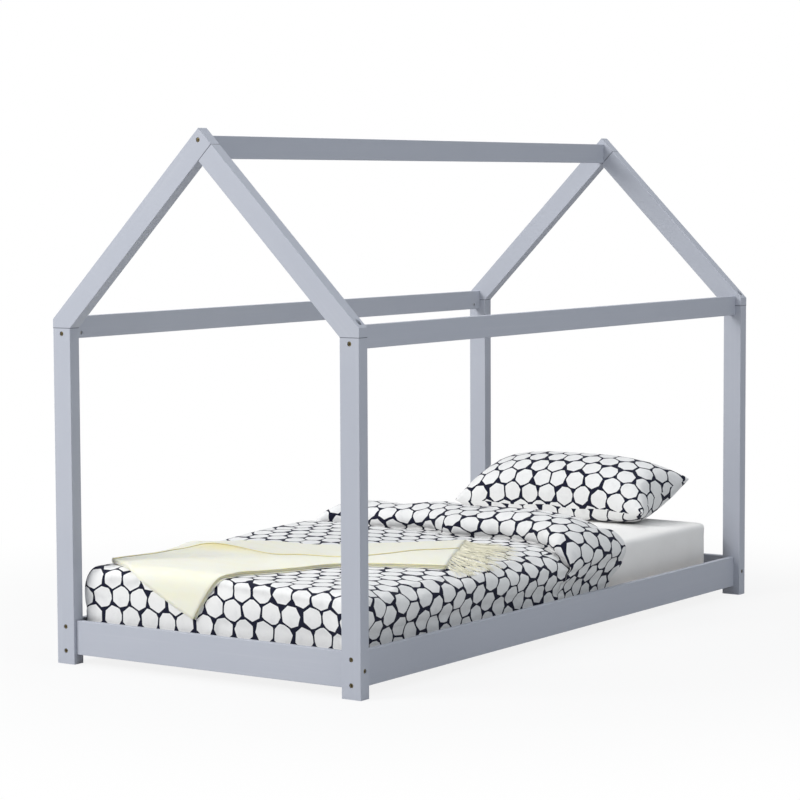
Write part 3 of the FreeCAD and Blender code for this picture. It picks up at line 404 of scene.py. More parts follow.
def make_mattress():
    """Foam block with round edges, a crowned top and slight creases in the sheet at its corners."""
    low, high = MATTRESS_LOW, MATTRESS_HIGH
    points, faces = box_shell(*[stations(*span) for span in zip(low, high, MATTRESS_PITCH)])
    placed, outward = rounded(points, low, high, MATTRESS_ROUNDING)
    middle = (low + high) / 2
    half = (high - low) / 2
    share = np.abs((placed - middle) / half)
    crown = (1 - share[:, 0] ** 6) * (1 - share[:, 1] ** 4)
    placed[:, 2] += MATTRESS_CROWN * crown * np.clip((placed[:, 2] - middle[2]) / half[2], 0, 1)
    corner = np.clip((share[:, 0] - 0.90) / 0.10, 0, 1) * np.clip((share[:, 1] - 0.80) / 0.20, 0, 1)
    loose = SHEET_SWELL * ripple(placed, 0.11, 1) + SHEET_CREASE * corner * ripple(placed, 0.030, 2)
    hidden = outward[:, 2] < -0.5
    placed += outward * np.where(hidden, 0.0, loose - SHEET_INSET)[:, None]
    return soft_piece("mattress_sheet", placed, faces)


mattress = make_mattress()
refine(mattress)
dress(mattress, fitted_sheet(), "mattress", "fitted_sheet", "mattress")

# Duvet: a quilt in a cotton cover, white with dark blue lines that leave rounded cells.
# It is laid over the mattress and tucked inside the rails at the foot and both sides.
# Its head end is folded back over itself in a thick soft flap that runs a little askew.
DUVET_FOOT = -0.990
DUVET_HALF = 0.449
DUVET_HEM = 0.082
DUVET_TOP = 0.250
DUVET_CROWN = 0.012
DUVET_SHOULDER = np.array((0.042, 0.036, 0.058))
DUVET_SLOPE = 0.095
DUVET_TUCK = np.array((0.030, 0.075))
DUVET_TUCK_LIMIT = 0.66
DUVET_FAR_TUCK = 0.2
DUVET_HEM_LIP = 0.006
DUVET_SWELL = 0.0030
DUVET_CREASE = 0.0013
# Extra loft of the far side: at the foot, and added further on
DUVET_FAR_LOFT = (0.010, 0.017)
# Where a smooth change begins and how far it runs, along the bed or across it to the left
SLOPE_RAMP = (DUVET_FOOT, 0.25)
FAR_RAMP = (-0.05, 0.40)
FAR_FULLER_RAMP = (-0.50, 0.45)
FAR_END_RAMP = (0.01, 0.10)
ROOM_FOOT = -0.9556
ROOM_HALF = 0.4056
ROOM_TOP = 0.2366
ROOM_ROUNDING = 0.012
FLAP_LOFT = 0.058
FLAP_BULGE = 0.12
FLAP_SIDE_SHARE = 0.24
FLAP_GATHER_WIDTH = 0.035
FLAP_GATHERS = 190.0
FOLD_SIDE = 0.014
FOLD_TOP = FLAP_LOFT * 0.80
FOLD_STEPS = 12
FOLD_LEAST = 0.012
CLOTH_PITCH = 0.009
CLOTH_SETTINGS = {
    "quality": 6, "mass": 0.25, "air_damping": 2.0, "use_pressure": True,
    "tension_stiffness": 20, "compression_stiffness": 20, "shear_stiffness": 8, "bending_stiffness": 0.6,
}
# Lines over the cover, as distance from the middle line to the left and place along the bed.
# Past 0.44 the distance runs down the hanging side.
FLAP_EDGE = (
    (-0.609, 0.006), (-0.554, 0.027), (-0.501, 0.043), (-0.448, 0.027), (-0.405, 0.036),
    (-0.328, 0.068), (-0.266, 0.086), (-0.192, 0.104), (-0.100, 0.090), (-0.023, 0.080),
    (0.062, 0.126), (0.150, 0.144), (0.230, 0.127), (0.330, 0.134), (0.400, 0.110),
    (0.448, 0.072), (0.520, 0.060), (0.609, 0.045),
)
FLAP_FOLD = (
    (-0.609, 0.290), (-0.579, 0.302), (-0.545, 0.325), (-0.520, 0.336), (-0.478, 0.318),
    (-0.448, 0.298), (-0.400, 0.281), (0.000, 0.313), (0.441, 0.345), (0.609, 0.335),
)
# Rolled edge of the flap: distance from the edge towards the head, and height as a share of the loft
FLAP_ROLL = (
    (-0.030, -0.01), (-0.012, -0.03), (0.004, -0.05), (0.016, 0.01), (0.003, 0.10),
    (-0.006, 0.26), (-0.008, 0.46), (-0.003, 0.68), (0.009, 0.86), (0.026, 0.96),
)
PRINT_PITCH = 0.0615
PRINT_ROW = 0.0525
PRINT_JITTER = 0.16
PRINT_LINE = 0.0024
PRINT_SIDES = 7
PRINT_REACH = 0.0272
PRINT_WHITE = (0.790, 0.790, 0.785, 1.0)
PRINT_GREY = (0.640, 0.644, 0.648, 1.0)
PRINT_BLUE = (0.0085, 0.0095, 0.0240, 1.0)


def pebble_cells(cloth):
    """Distance into a cell from its edge, for polygons turned at random in shaken, staggered rows."""
    y, x, _ = cloth.axes()
    row = y / PRINT_ROW
    row = row.maths("ROUND", row)
    nearest = None
    for row_step in (-1, 0, 1):
        j = row + row_step
        stagger = j.maths("FRACT", j * 0.5)
        column = x / PRINT_PITCH - stagger
        column = column.maths("ROUND", column)
        for column_step in (-1, 0, 1):
            i = column + column_step
            cell = i.node("ShaderNodeCombineXYZ", {}, {"X": i, "Y": j})
            flat = {"noise_dimensions": "2D"}
            shake = cell.node("ShaderNodeTexWhiteNoise", flat, {"Vector": cell}, "Color").axes()
            off_x = x - (i + stagger + (shake[0] - 0.5) * PRINT_JITTER) * PRINT_PITCH
            off_y = y - (j + (shake[1] - 0.5) * PRINT_JITTER) * PRINT_ROW
            far = off_x * off_x + off_y * off_y
            spot = cell.node("ShaderNodeCombineXYZ", {}, {"X": off_x, "Y": off_y, "Z": shake[2]})
            if nearest is None:
                nearest = far
                second = far + 1.0
                own = spot
                continue
            second = second.maths("MINIMUM", second, far.maths("MAXIMUM", far, nearest))
            closer = far.maths("LESS_THAN", far, nearest)
            own = closer.node("ShaderNodeMix", {"data_type": "VECTOR"}, {0: closer, 4: own, 5: spot}, 1)
            nearest = nearest.maths("MINIMUM", nearest, far)
    off_x, off_y, turn = own.axes()
    angle = off_y.maths("ARCTAN2", off_y, off_x) + turn * (2 * math.pi)
    corner = math.pi / PRINT_SIDES
    sector = angle.maths("WRAP", angle, corner, -corner)
    reach = nearest.maths("SQRT", nearest) * sector.maths("COSINE", sector)
    gap = (second - nearest) / (2 * PRINT_PITCH) - PRINT_LINE
    return gap.maths("MINIMUM", gap, PRINT_REACH - reach)


def printed_cotton(name):
    """Cotton printed with dark blue between white cells, which are faintly shaded inside a clean edge."""
    constants = {"Sheen Weight": 0.04, "Specular IOR Level": 0.12}
    material, cloth = finish(name, constants, "UV")
    wobble = cloth.noise(26.0, 1.0) * 0.0012 - 0.0006
    inside = pebble_cells(cloth) + wobble
    stone = cloth.noise(34.0, 4.0, 0.62).step(0.44, 0.80) * inside.step(0.001, 0.006) * 0.5
    cells = stone.tint(PRINT_WHITE, PRINT_GREY)
    crumple = cloth.noise(30.0, 4.0, 0.55)
    return feed(
        material,
        Base_Color=inside.step(-0.0004, 0.0004).tint(PRINT_BLUE, cells),
        Roughness=0.80 + crumple * 0.14,
        Normal=(cotton_weave(cloth, 0.0010) * 0.25 + crumple * 0.75).bump(0.0012, 0.30),
    )


def settle(piece, held, pressure, spare, frames, cap):
    """Let a filling press its cover out. Held points stay, and none moves further than the cap."""
    start = places(piece)
    group = piece.vertex_groups.new(name="held")
    group.add([int(i) for i in np.flatnonzero(held)], 1.0, "REPLACE")
    cloth = piece.modifiers.new("settle", "CLOTH")
    for setting, value in CLOTH_SETTINGS.items():
        setattr(cloth.settings, setting, value)
    cloth.settings.shrink_min = -spare
    cloth.settings.uniform_pressure_force = pressure
    cloth.settings.vertex_group_mass = group.name
    cloth.settings.effector_weights.gravity = 0
    cloth.collision_settings.use_collision = False
    cloth.point_cache.frame_start = 1
    cloth.point_cache.frame_end = frames
    scene = bpy.context.scene
    for step in range(1, frames + 1):
        scene.frame_set(step)
    shaped = piece.evaluated_get(bpy.context.evaluated_depsgraph_get())
    end = places(shaped)
    moved = end - start
    far = np.linalg.norm(moved, axis=1, keepdims=True)
    eased = cap * np.tanh(far / cap)
    piece.modifiers.remove(cloth)
    piece.vertex_groups.remove(group)
    scene.frame_set(1)
    move_to(piece, start + moved * np.where(far > 1e-9, eased / np.maximum(far, 1e-9), 0.0))


def run_length(points):
    """Distance along a row of points, from its first."""
    steps = np.linalg.norm(np.diff(points, axis=0), axis=1)
    return np.concatenate(([0.0], np.cumsum(steps)))


def duvet_columns():
    """Box places across the duvet, from left hem over the top to right hem, and how many hang on a side."""
    sides = stations(DUVET_HEM, DUVET_TOP, CLOTH_PITCH)
    top = stations(-DUVET_HALF, DUVET_HALF, CLOTH_PITCH)[::-1]
    left = [(DUVET_HALF, z) for z in sides[:-1]]
    over = [(y, DUVET_TOP) for y in top]
    right = [(-DUVET_HALF, z) for z in sides[-2::-1]]
    return np.array(left + over + right), len(sides) - 1


def smooth_line(corners, count):
    """Points along a smooth line through a few corners, shared evenly between them."""
    corners = np.array(corners)
    ends = np.concatenate((2 * corners[:1] - corners[1:2], corners, 2 * corners[-1:] - corners[-2:-1]))
    line = []
    for place in np.linspace(0, len(corners) - 1 - 1e-9, count):
        i = int(place)
        f = place - i
        p0, p1, p2, p3 = ends[i:i + 4]
        bend = 2 * p0 - 5 * p1 + 4 * p2 - p3
        twist = 3 * p1 - 3 * p2 + p3 - p0
        line.append(0.5 * (2 * p1 + (p2 - p0) * f + bend * f * f + twist * f ** 3))
    return np.array(line)


def along_bed(line, columns):
    """Place along the bed of a line over the cover, for each column."""
    down = DUVET_TOP - columns[:, 1]
    run = columns[:, 0] + np.sign(columns[:, 0]) * down
    smooth = smooth_line(line, 20 * len(line))
    return np.interp(run, smooth[:, 0], smooth[:, 1])


def duvet_rows(columns):
    """Place along the bed for each row and column, each row's height, and the row where the flap begins."""
    edge = along_bed(FLAP_EDGE, columns)
    fold = along_bed(FLAP_FOLD, columns)
    hanging = np.abs(columns[:, 0]) >= DUVET_HALF
    fold = fold - np.where(hanging, FOLD_SIDE, FOLD_TOP)
    rows = []
    heights = []
    count = round((edge.mean() - DUVET_FOOT) / CLOTH_PITCH)
    for share in np.linspace(0, 1, count)[:-1]:
        rows.append(DUVET_FOOT + share * (edge + FLAP_ROLL[0][0] - DUVET_FOOT))
        heights.append(0.0)
    base = len(rows)
    for x, high in FLAP_ROLL:
        rows.append(edge + x)
        heights.append(high)
    start = edge + FLAP_ROLL[-1][0] + CLOTH_PITCH
    count = round((fold - start).mean() / CLOTH_PITCH)
    for share in np.linspace(0, 1, count):
        rows.append(start + share * (fold - start))
        heights.append(1.0 + FLAP_BULGE * math.sin(math.pi * share))
    return np.array(rows), np.array(heights), base


def ramp(value, start, run):
    """0 up to the start, 1 past the run, smooth in between."""
    share = np.clip((value - start) / run, 0, 1)
    return share ** 2 * (3 - 2 * share)


def cover_at(box):
    """Points of the cover without its flap, for points of the box round it, and their outward directions."""
    low = np.array((DUVET_FOOT, -DUVET_HALF, -1.0))
    high = np.array((5.0, DUVET_HALF, DUVET_TOP))
    radius = np.broadcast_to(DUVET_SHOULDER, box.shape).copy()
    radius[..., 1] += DUVET_SLOPE * (box[..., 1] < 0) * ramp(box[..., 0], *SLOPE_RAMP)
    placed, outward = rounded(box, low, high, radius)
    placed[..., 2] += DUVET_CROWN * (1 - (placed[..., 1] / DUVET_HALF) ** 2) * np.clip(outward[..., 2], 0, 1)
    below = (DUVET_TOP - DUVET_SHOULDER[2] - placed[..., 2]) / DUVET_TUCK[1]
    below = np.clip(below, 0, DUVET_TUCK_LIMIT)
    tuck = DUVET_TUCK * (1 - np.sqrt(1 - below ** 2))[..., None] * outward[..., :2]
    placed[..., :2] -= np.where(box[..., 1:2] < 0, tuck, DUVET_FAR_TUCK * tuck)
    far = ramp(placed[..., 1], *FAR_RAMP) * (1 - ramp(placed[..., 0], *FAR_END_RAMP))
    fuller = DUVET_FAR_LOFT[0] + DUVET_FAR_LOFT[1] * ramp(placed[..., 0], *FAR_FULLER_RAMP)
    placed[..., 2] += far * np.clip(outward[..., 2], 0, 1) * fuller
    return placed, outward


def room_at(box):
    """Points of the cover's underside, round the mattress, for points of the box round the cover."""
    tall = (ROOM_TOP - DUVET_HEM) / (DUVET_TOP - DUVET_HEM)
    scaled = box * np.array((1.0, ROOM_HALF / DUVET_HALF, tall))
    scaled[..., 2] += DUVET_HEM * (1 - tall)
    low = np.array((ROOM_FOOT, -ROOM_HALF, -1.0))
    return rounded(scaled, low, np.array((5.0, ROOM_HALF, ROOM_TOP)), ROOM_ROUNDING)[0]


def flap_lift(box, outward, heights):
    """How far the flap lifts the cover's outside; the hanging sides hardly rise."""
    hang = np.clip((box[..., 2] - DUVET_HEM) / (DUVET_TOP - DUVET_HEM), 0, 1)
    flat = np.clip(outward[..., 2], 0, 1)
    on_top = FLAP_SIDE_SHARE + (1 - FLAP_SIDE_SHARE) * flat ** 1.4
    squeeze = np.where(outward[..., 2] > 0.02, on_top, FLAP_SIDE_SHARE * hang)
    return heights[:, None] * squeeze * FLAP_LOFT * (1 + FLAP_BULGE * ripple(box, 0.16, 11))


def duvet_puckers(placed, outward, edge):
    """Lift of the cover's outside: broad swells, small creases, and gathers along the edge of the flap."""
    lift = DUVET_SWELL * ripple(placed, 0.21, 3) + DUVET_CREASE * ripple(placed, 0.075, 4)
    near = np.exp(-(((placed[..., 0] - edge) / FLAP_GATHER_WIDTH) ** 2))
    beside = np.abs(outward[..., 1]) ** 2
    run = placed[..., 2] * beside + placed[..., 1] * (1 - beside)
    gather = np.sin(run * FLAP_GATHERS + 3.0 * ripple(placed, 0.07, 5))
    return lift + near * gather * (0.0014 + 0.0034 * beside)


def box_places(along, columns):
    """Box places for places along the bed in each row and column."""
    around = [np.broadcast_to(columns[:, k], along.shape) for k in range(2)]
    return np.stack((along, *around), axis=-1)


def make_duvet():
    """Closed cover: outside, round fold, underside, hem and the hanging foot end, with its cloth map."""
    columns, on_side = duvet_columns()
    rows, heights, base = duvet_rows(columns)
    edge = along_bed(FLAP_EDGE, columns)
    box = box_places(rows, columns)
    outside, outward = cover_at(box)
    lifted = outside + outward * flap_lift(box, outward, heights)[..., None]
    outside = lifted + outward * duvet_puckers(outside, outward, edge)[..., None]
    fold_steps = np.linspace(0, math.pi, FOLD_STEPS)[1:-1]
    steps = np.linspace(0, 1, len(rows) + len(fold_steps) + 1)[:, None]
    under_x = ROOM_FOOT + steps * (rows[-1] - ROOM_FOOT)
    inside = room_at(box_places(under_x, columns))
    crest = outside[-1]
    under = inside[-1]
    round_x = np.maximum(np.linalg.norm(crest - under, axis=1) / 2, FOLD_LEAST)
    fold = []
    for angle in fold_steps:
        ring = crest + (under - crest) * (1 - math.cos(angle)) / 2
        ring[:, 0] += round_x * math.sin(angle) * 1.05
        fold.append(ring)
    shell = np.concatenate((outside, np.array(fold), under[None]))
    deep, wide = shell.shape[:2]
    numbers = np.arange(deep * wide).reshape(deep, wide)
    points = [shell.reshape(-1, 3)]
    count = deep * wide

    def grow(block):
        """Number a new block of points."""
        nonlocal count
        fresh = np.arange(count, count + block[..., 0].size).reshape(block.shape[:-1])
        points.append(block.reshape(-1, 3))
        count += fresh.size
        return fresh

    in_numbers = np.concatenate((grow(inside[:-1]), numbers[-1:]))

    def foot_end(border, at):
        """Numbers of the hanging foot end from top to hem, inside the border that the first row makes."""
        top_line = border[on_side:wide - on_side]
        grid = np.zeros((on_side + 1, len(top_line)), int)
        grid[0] = top_line
        grid[1:, 0] = border[on_side - 1::-1]
        grid[1:, -1] = border[wide - on_side:]
        inner_y = columns[on_side + 1:wide - on_side - 1, 0]
        z, y = np.meshgrid(columns[on_side - 1::-1, 1], inner_y, indexing="ij")
        grid[1:, 1:-1] = grow(at(np.stack((np.zeros_like(y), y, z), axis=-1)))
        return grid

    def outside_foot(box):
        placed, outward = cover_at(box + np.array((DUVET_FOOT, 0.0, 0.0)))
        return placed + outward * duvet_puckers(placed, outward, 5.0)[..., None]

    foot_out = foot_end(numbers[0], outside_foot)
    foot_in = foot_end(in_numbers[0], lambda box: room_at(box + np.array((ROOM_FOOT, 0.0, 0.0))))
    placed = np.concatenate(points)
    hem_out = np.concatenate((numbers[::-1, 0], foot_out[-1, 1:-1], numbers[:, -1]))
    hem_in = np.concatenate((in_numbers[::-1, 0], foot_in[-1, 1:-1], in_numbers[:, -1]))
    lip = (placed[hem_out] + placed[hem_in]) / 2 - np.array((0.0, 0.0, DUVET_HEM_LIP))
    hem_mid = grow(lip)
    placed = np.concatenate(points)
    bridge_out = np.stack((hem_out, hem_mid))
    bridge_in = np.stack((hem_mid, hem_in))

    calm = np.concatenate((lifted, np.array(fold), under[None]))
    along = np.array([run_length(calm[:, j]) for j in range(wide)]).T + DUVET_FOOT
    slack = along[-1, wide // 2] - along[-1]
    past_roll = np.clip((np.arange(deep) - base - len(FLAP_ROLL)) / (deep - base - len(FLAP_ROLL)), 0, 1)
    along = along + 0.5 * slack * past_roll[:, None]
    across = np.array([run_length(row) for row in calm])
    across -= across[:, wide // 2:wide // 2 + 1]
    fall = run_length(placed[foot_out[:, foot_out.shape[1] // 2]])
    foot_cloth = np.broadcast_arrays(DUVET_FOOT - fall[:, None], across[:1, on_side:wide - on_side])
    parts = [
        (numbers, np.stack((along, across), axis=-1), False),
        (foot_out, np.stack(foot_cloth, axis=-1), True),
        (in_numbers, None, True),
        (foot_in, None, False),
        (bridge_out, None, False),
        (bridge_in, None, False),
    ]
    faces = []
    cloth = []
    for index, own, flip in parts:
        faces.append(quads(index, flip))
        if own is None:
            own = placed[index][..., :2]
        label = np.arange(index.size).reshape(index.shape)
        cloth.append(own.reshape(-1, 2)[quads(label, flip)])
    held = np.ones(len(placed), bool)
    held[numbers[:len(rows) + 8, 2:-2].ravel()] = False
    held[foot_out[:-1, 1:-1].ravel()] = False
    piece = soft_piece("duvet_cover", placed, np.concatenate(faces), np.concatenate(cloth))
    return piece, held


duvet, duvet_held = make_duvet()
settle(duvet, duvet_held, pressure=1.2, spare=0.012, frames=14, cap=0.007)
refine(duvet)
duvet_cotton = printed_cotton("printed_cotton_duvet")
dress(duvet, duvet_cotton, "duvet", "printed_cotton", "duvet")

# Pillow: a full feather pillow in a case of the same printed cotton, sewn along its edges.
# It lies on the head of the mattress with its head end raised. Its seams draw in between the corners.
PILLOW_MIDDLE = np.array((0.825, 0.009, 0.3155))
PILLOW_LENGTH = 0.669
PILLOW_DEPTH = 0.311
PILLOW_HALF_HEIGHT = 0.0950
PILLOW_DRAW = 0.016
PILLOW_SEAM_DROP = 0.011
PILLOW_TILT = math.radians(14)
PILLOW_REST = 0.2328
PILLOW_PRESS = 0.004
PILLOW_CONTACT = 0.0012
PILLOW_PITCH = 0.010
PILLOW_GATHER = 0.0028
PILLOW_GATHERS = 210
# How fully the filling reaches the seams, along and across the bed: two powers of the share of the way
PILLOW_FULLNESS = ((2.3, 0.51), (3.0, 0.55))


def flat_cloth(face, start):
    """Cloth map of a face of the case: distances over it from its middle lines."""
    deep, wide = face.shape[:2]
    along = np.array([run_length(face[:, j]) for j in range(wide)]).T
    across = np.array([run_length(face[i]) for i in range(deep)])
    along = along - along[deep // 2] + start
    across = across - across[:, wide // 2:wide // 2 + 1]
    return np.stack((along, across), axis=-1).reshape(-1, 2)


def make_pillow():
    """Two faces of the case, joined at the seam, and swollen by the filling."""
    grid = []
    for half in (PILLOW_DEPTH / 2, PILLOW_LENGTH / 2):
        even = stations(-1.0, 1.0, PILLOW_PITCH / half)
        grid.append(0.5 * even + 0.5 * np.sin(even * math.pi / 2))
    a, b = np.meshgrid(*grid, indexing="ij")
    high = np.full(a.shape, PILLOW_HALF_HEIGHT)
    for share, (bulge, edge) in zip((a, b), PILLOW_FULLNESS):
        high *= np.maximum(1 - np.abs(share) ** bulge, 0) ** edge
    x = a * (PILLOW_DEPTH / 2 - PILLOW_DRAW * (1 - b ** 2) * np.abs(a) ** 3)
    y = b * (PILLOW_LENGTH / 2 - PILLOW_DRAW * (1 - a ** 2) * np.abs(b) ** 3)
    seam_line = -PILLOW_SEAM_DROP * ((1 - a) / 2) ** 3 * (1 - b ** 6)
    seam_line = seam_line + 0.003 * np.sin(y * 31.0 + 1.0) * np.abs(a) ** 6
    upper = np.stack((x, y, seam_line + high), axis=-1)
    lower = np.stack((x, y, seam_line - high), axis=-1)
    seam = np.zeros(a.shape, bool)
    seam[[0, -1], :] = True
    seam[:, [0, -1]] = True
    rim = np.minimum(1 - np.abs(a), 1 - np.abs(b))
    gather = np.exp(-((rim / 0.10) ** 2)) * np.sin((x + y) * PILLOW_GATHERS + 4.0 * ripple(upper, 0.06, 21))
    upper[..., 2] += PILLOW_GATHER * gather * ~seam
    lower[..., 2] -= PILLOW_GATHER * gather * ~seam
    top_numbers = np.arange(a.size).reshape(a.shape)
    low_numbers = top_numbers.copy()
    low_numbers[~seam] = a.size + np.arange((~seam).sum())
    points = np.concatenate((upper.reshape(-1, 3), lower[~seam]))
    turn = np.array(Matrix.Rotation(-PILLOW_TILT, 3, "Y"))
    points = points @ turn.T + PILLOW_MIDDLE
    faces = np.concatenate((quads(top_numbers), quads(low_numbers, True)))
    top_cloth = flat_cloth(upper, 3.0)[quads(top_numbers)]
    low_cloth = flat_cloth(lower, 5.0)[quads(top_numbers, True)]
    return soft_piece("pillow_case", points, faces, np.concatenate((top_cloth, low_cloth)))


def rest_on(piece, level, soft):
    """Flatten a piece softly where it would sink below a level."""
    points = places(piece)
    above = points[:, 2] - level
    points[:, 2] = level + soft * np.logaddexp(0, above / soft)
    move_to(piece, points)


pillow = make_pillow()
rest_on(pillow, PILLOW_REST, PILLOW_PRESS)
pillow_held = places(pillow)[:, 2] < PILLOW_REST + PILLOW_PRESS
settle(pillow, pillow_held, pressure=2.0, spare=0.020, frames=16, cap=0.010)
rest_on(pillow, PILLOW_REST, PILLOW_CONTACT)
refine(pillow)
dress(pillow, printed_cotton("printed_cotton_pillow"), "pillow", "printed_cotton", "pillow")

# Throw: a soft pale yellow woven cloth, 130 by 170 cm, folded into a strip several layers thick.
# It is thrown over the foot of the duvet. One end hangs down there, and the fringed end lies on top.
THROW_LAYERS = 6
THROW_ROWS = 110
THROW_COLUMNS = 46
THROW_PLY = 0.0022
THROW_CLOTH = 0.0016
THROW_LIFT = 0.0020
THROW_BEND = 0.040
THROW_REACH = 0.395
THROW_END_BOW = 0.009
THROW_INSET = 0.009
THROW_MOUTH = 0.415
THROW_MOUTH_LENGTH = 0.065
THROW_MOUTH_LIFT = 0.015
# Shares of the deep colour: painted shade on each lower layer's turned fold edge, and the darker hem at the
# free edge
THROW_FOLD_SHADE = 0.7
THROW_EDGE_TINT = 0.9
RAY_START = 0.12
THROW_COLOUR = (0.825, 0.815, 0.705, 1.0)
# Deep yellow for random deeper tones and the hem, and for painted warm shade inside the folds and the pocket
THROW_DEEP_AND_SHADE_COLOUR = (0.800, 0.690, 0.330, 1.0)
THROW_CONSTANTS = {
    "Sheen Weight": 0.20,
    "Specular IOR Level": 0.2,
    "Subsurface Weight": 0.45,
    "Subsurface Radius": (1.0, 0.80, 0.32),
    "Subsurface Scale": 0.004,
}
# Lines over the unrolled duvet, from the hanging end to the fringe: place along the bed, and to the left.
# The near and far edges bound the strip, and the free edge is where the top layer stops.
THROW_NEAR = (
    (-1.089, 0.058), (-1.008, 0.006), (-0.955, -0.030), (-0.898, -0.027), (-0.834, -0.057),
    (-0.734, -0.104), (-0.660, -0.125), (-0.600, -0.165), (-0.555, -0.220), (-0.510, -0.290),
    (-0.461, -0.367),
)
THROW_FREE = (
    (-0.901, 0.402), (-0.816, 0.396), (-0.748, 0.380), (-0.660, 0.370), (-0.610, 0.290),
    (-0.648, 0.140), (-0.600, 0.060), (-0.575, -0.035), (-0.480, -0.085), (-0.340, -0.155),
    (-0.198, -0.261),
)
THROW_FAR = (
    (-0.895, 0.414), (-0.808, 0.408), (-0.740, 0.396), (-0.650, 0.405), (-0.560, 0.405),
    (-0.475, 0.355), (-0.418, 0.245), (-0.385, 0.100), (-0.290, 0.020), (-0.178, -0.072),
    (-0.055, -0.169),
)

duvet_faces = [tuple(face.vertices) for face in duvet.data.polygons]
duvet_tree = BVHTree.FromPolygons([Vector(p) for p in places(duvet)], duvet_faces)


def on_duvet(spots):
    """Places over the duvet for spots on it unrolled, outward directions, and the duvet's height there."""
    bend = THROW_BEND * math.pi / 2
    edge = DUVET_FOOT + THROW_BEND
    past = np.maximum(edge - spots[..., 0], 0.0)
    angle = np.minimum(past, bend) / THROW_BEND
    level = DUVET_TOP + DUVET_CROWN - THROW_BEND
    along = np.maximum(spots[..., 0], edge) - THROW_BEND * np.sin(angle)
    high = level + THROW_BEND * np.cos(angle) - np.maximum(past - bend, 0.0)
    start = np.stack((along, spots[..., 1], high), axis=-1)
    outward = np.stack((-np.sin(angle), np.zeros_like(angle), np.cos(angle)), axis=-1)
    height = np.zeros(angle.shape)
    for k in np.ndindex(angle.shape):
        way = Vector(outward[k])
        spot = Vector(start[k])
        spot.y = max(-THROW_REACH, min(spot.y, THROW_REACH))
        hit = duvet_tree.ray_cast(spot + way * RAY_START, -way)[0]
        height[k] = 0.0 if hit is None else (hit - spot).dot(way)
    return start, outward, height


def eased_height(height, rounds):
    """Cloth bridges small hollows: heights are smoothed, and stay on or above what lies below."""
    result = height.copy()
    for _ in range(rounds):
        wide = np.pad(result, 1, mode="edge")
        result = (wide[:-2, 1:-1] + wide[2:, 1:-1] + wide[1:-1, :-2] + wide[1:-1, 2:] + 2 * result) / 6
        result = np.maximum(result, height)
    return result


def make_throw():
    """One sheet, folded back and forth across the strip. Its top layer stops at the open free edge."""
    rows = THROW_ROWS
    near = smooth_line(THROW_NEAR, rows)
    far = smooth_line(THROW_FAR, rows)
    free = smooth_line(THROW_FREE, rows)
    width = np.linalg.norm(far - near, axis=1)
    across = np.linspace(0, 1, THROW_COLUMNS)
    spots = near[:, None] + (far - near)[:, None] * across[None, :, None]
    end = np.exp(-((np.arange(rows) / 9.0) ** 2))[:, None]
    spots[..., 0] -= THROW_END_BOW * end * np.sin(math.pi * across)
    start, outward, height = on_duvet(spots)
    base = start + outward * eased_height(height, 14)[..., None]
    mouth = np.exp(-(((np.linspace(0, 1, rows) - THROW_MOUTH) / THROW_MOUTH_LENGTH) ** 2))[:, None]
    stop = np.minimum(1 - np.linalg.norm(free - far, axis=1) / width, 0.97)
    turns = [np.zeros(rows)]
    for fold in range(THROW_LAYERS - 1):
        inset = THROW_INSET * (1 + math.sin(fold * 2.3))
        turns.append(np.full(rows, inset if fold % 2 else 1 - inset))
    turns.append(stop)
    layers = []
    runs = []
    deep = []
    done = np.zeros(rows)
    for layer in range(THROW_LAYERS):
        top = layer == THROW_LAYERS - 1
        wanted = turns[layer][:, None] + (turns[layer + 1] - turns[layer])[:, None] * across
        lift = np.full(wanted.shape, THROW_LIFT + THROW_PLY * layer)
        ahead = (wanted - stop[:, None]) * (layer >= THROW_LAYERS - 2)
        rise = np.where(ahead < 0, np.exp(-((ahead / 0.10) ** 2)), np.exp(-((ahead / 0.30) ** 2)))
        # Painted warm shade on the layer inside the open mouth of the pocket
        fold_shade_and_hem = mouth * np.exp(-((ahead / 0.10) ** 2)) * (layer == THROW_LAYERS - 2)
        if layer >= THROW_LAYERS - 2:
            lift += THROW_MOUTH_LIFT * mouth * rise
        if top:
            fold_shade_and_hem[:, -2:] = THROW_EDGE_TINT
        else:
            # The turned fold edge of each lower layer gets a line of painted shade
            beyond = turns[layer + 1] + (-1 if layer % 2 else 1) * 0.5 * THROW_PLY / width
            wanted = np.concatenate((wanted, beyond[:, None]), axis=1)
            lift = np.concatenate((lift, lift[:, -1:] + THROW_PLY / 2), axis=1)
            fold_shade_and_hem = np.concatenate((fold_shade_and_hem, np.full((rows, 1), THROW_FOLD_SHADE)), axis=1)
        raised = np.empty((*wanted.shape, 3))
        for k in range(rows):
            for c in range(3):
                raised[k, :, c] = np.interp(wanted[k], across, base[k, :, c])
                raised[k, :, c] += lift[k] * np.interp(wanted[k], across, outward[k, :, c])
        layers.append(raised)
        deep.append(fold_shade_and_hem)
        runs.append(done[:, None] + np.abs(wanted - wanted[:, :1]) * width[:, None])
        done = runs[-1][:, -1]
    place = np.concatenate(layers, axis=1)
    run = np.concatenate(runs, axis=1)
    numbers = np.arange(run.size).reshape(run.shape)
    length = run_length((near + far) / 2)
    own = np.stack(np.broadcast_arrays(length[:, None], run), axis=-1).reshape(-1, 2)
    faces = quads(numbers)
    piece = soft_piece("throw_cloth", place.reshape(-1, 3), faces, own[faces])
    # This attribute holds painted shade at the folds and in the pocket, and the colour of the hem
    shade = piece.data.attributes.new("fold_shade_and_hem", "FLOAT", "POINT")
    shade.data.foreach_set("value", np.concatenate(deep, axis=1).ravel().astype(np.float32))
    return piece, layers


def thicken(piece, thickness):
    """Give a sheet the thickness of its cloth."""
    modifier = piece.modifiers.new("thick", "SOLIDIFY")
    modifier.thickness = thickness
    modifier.offset = 0.0
    make_real(piece, modifier)


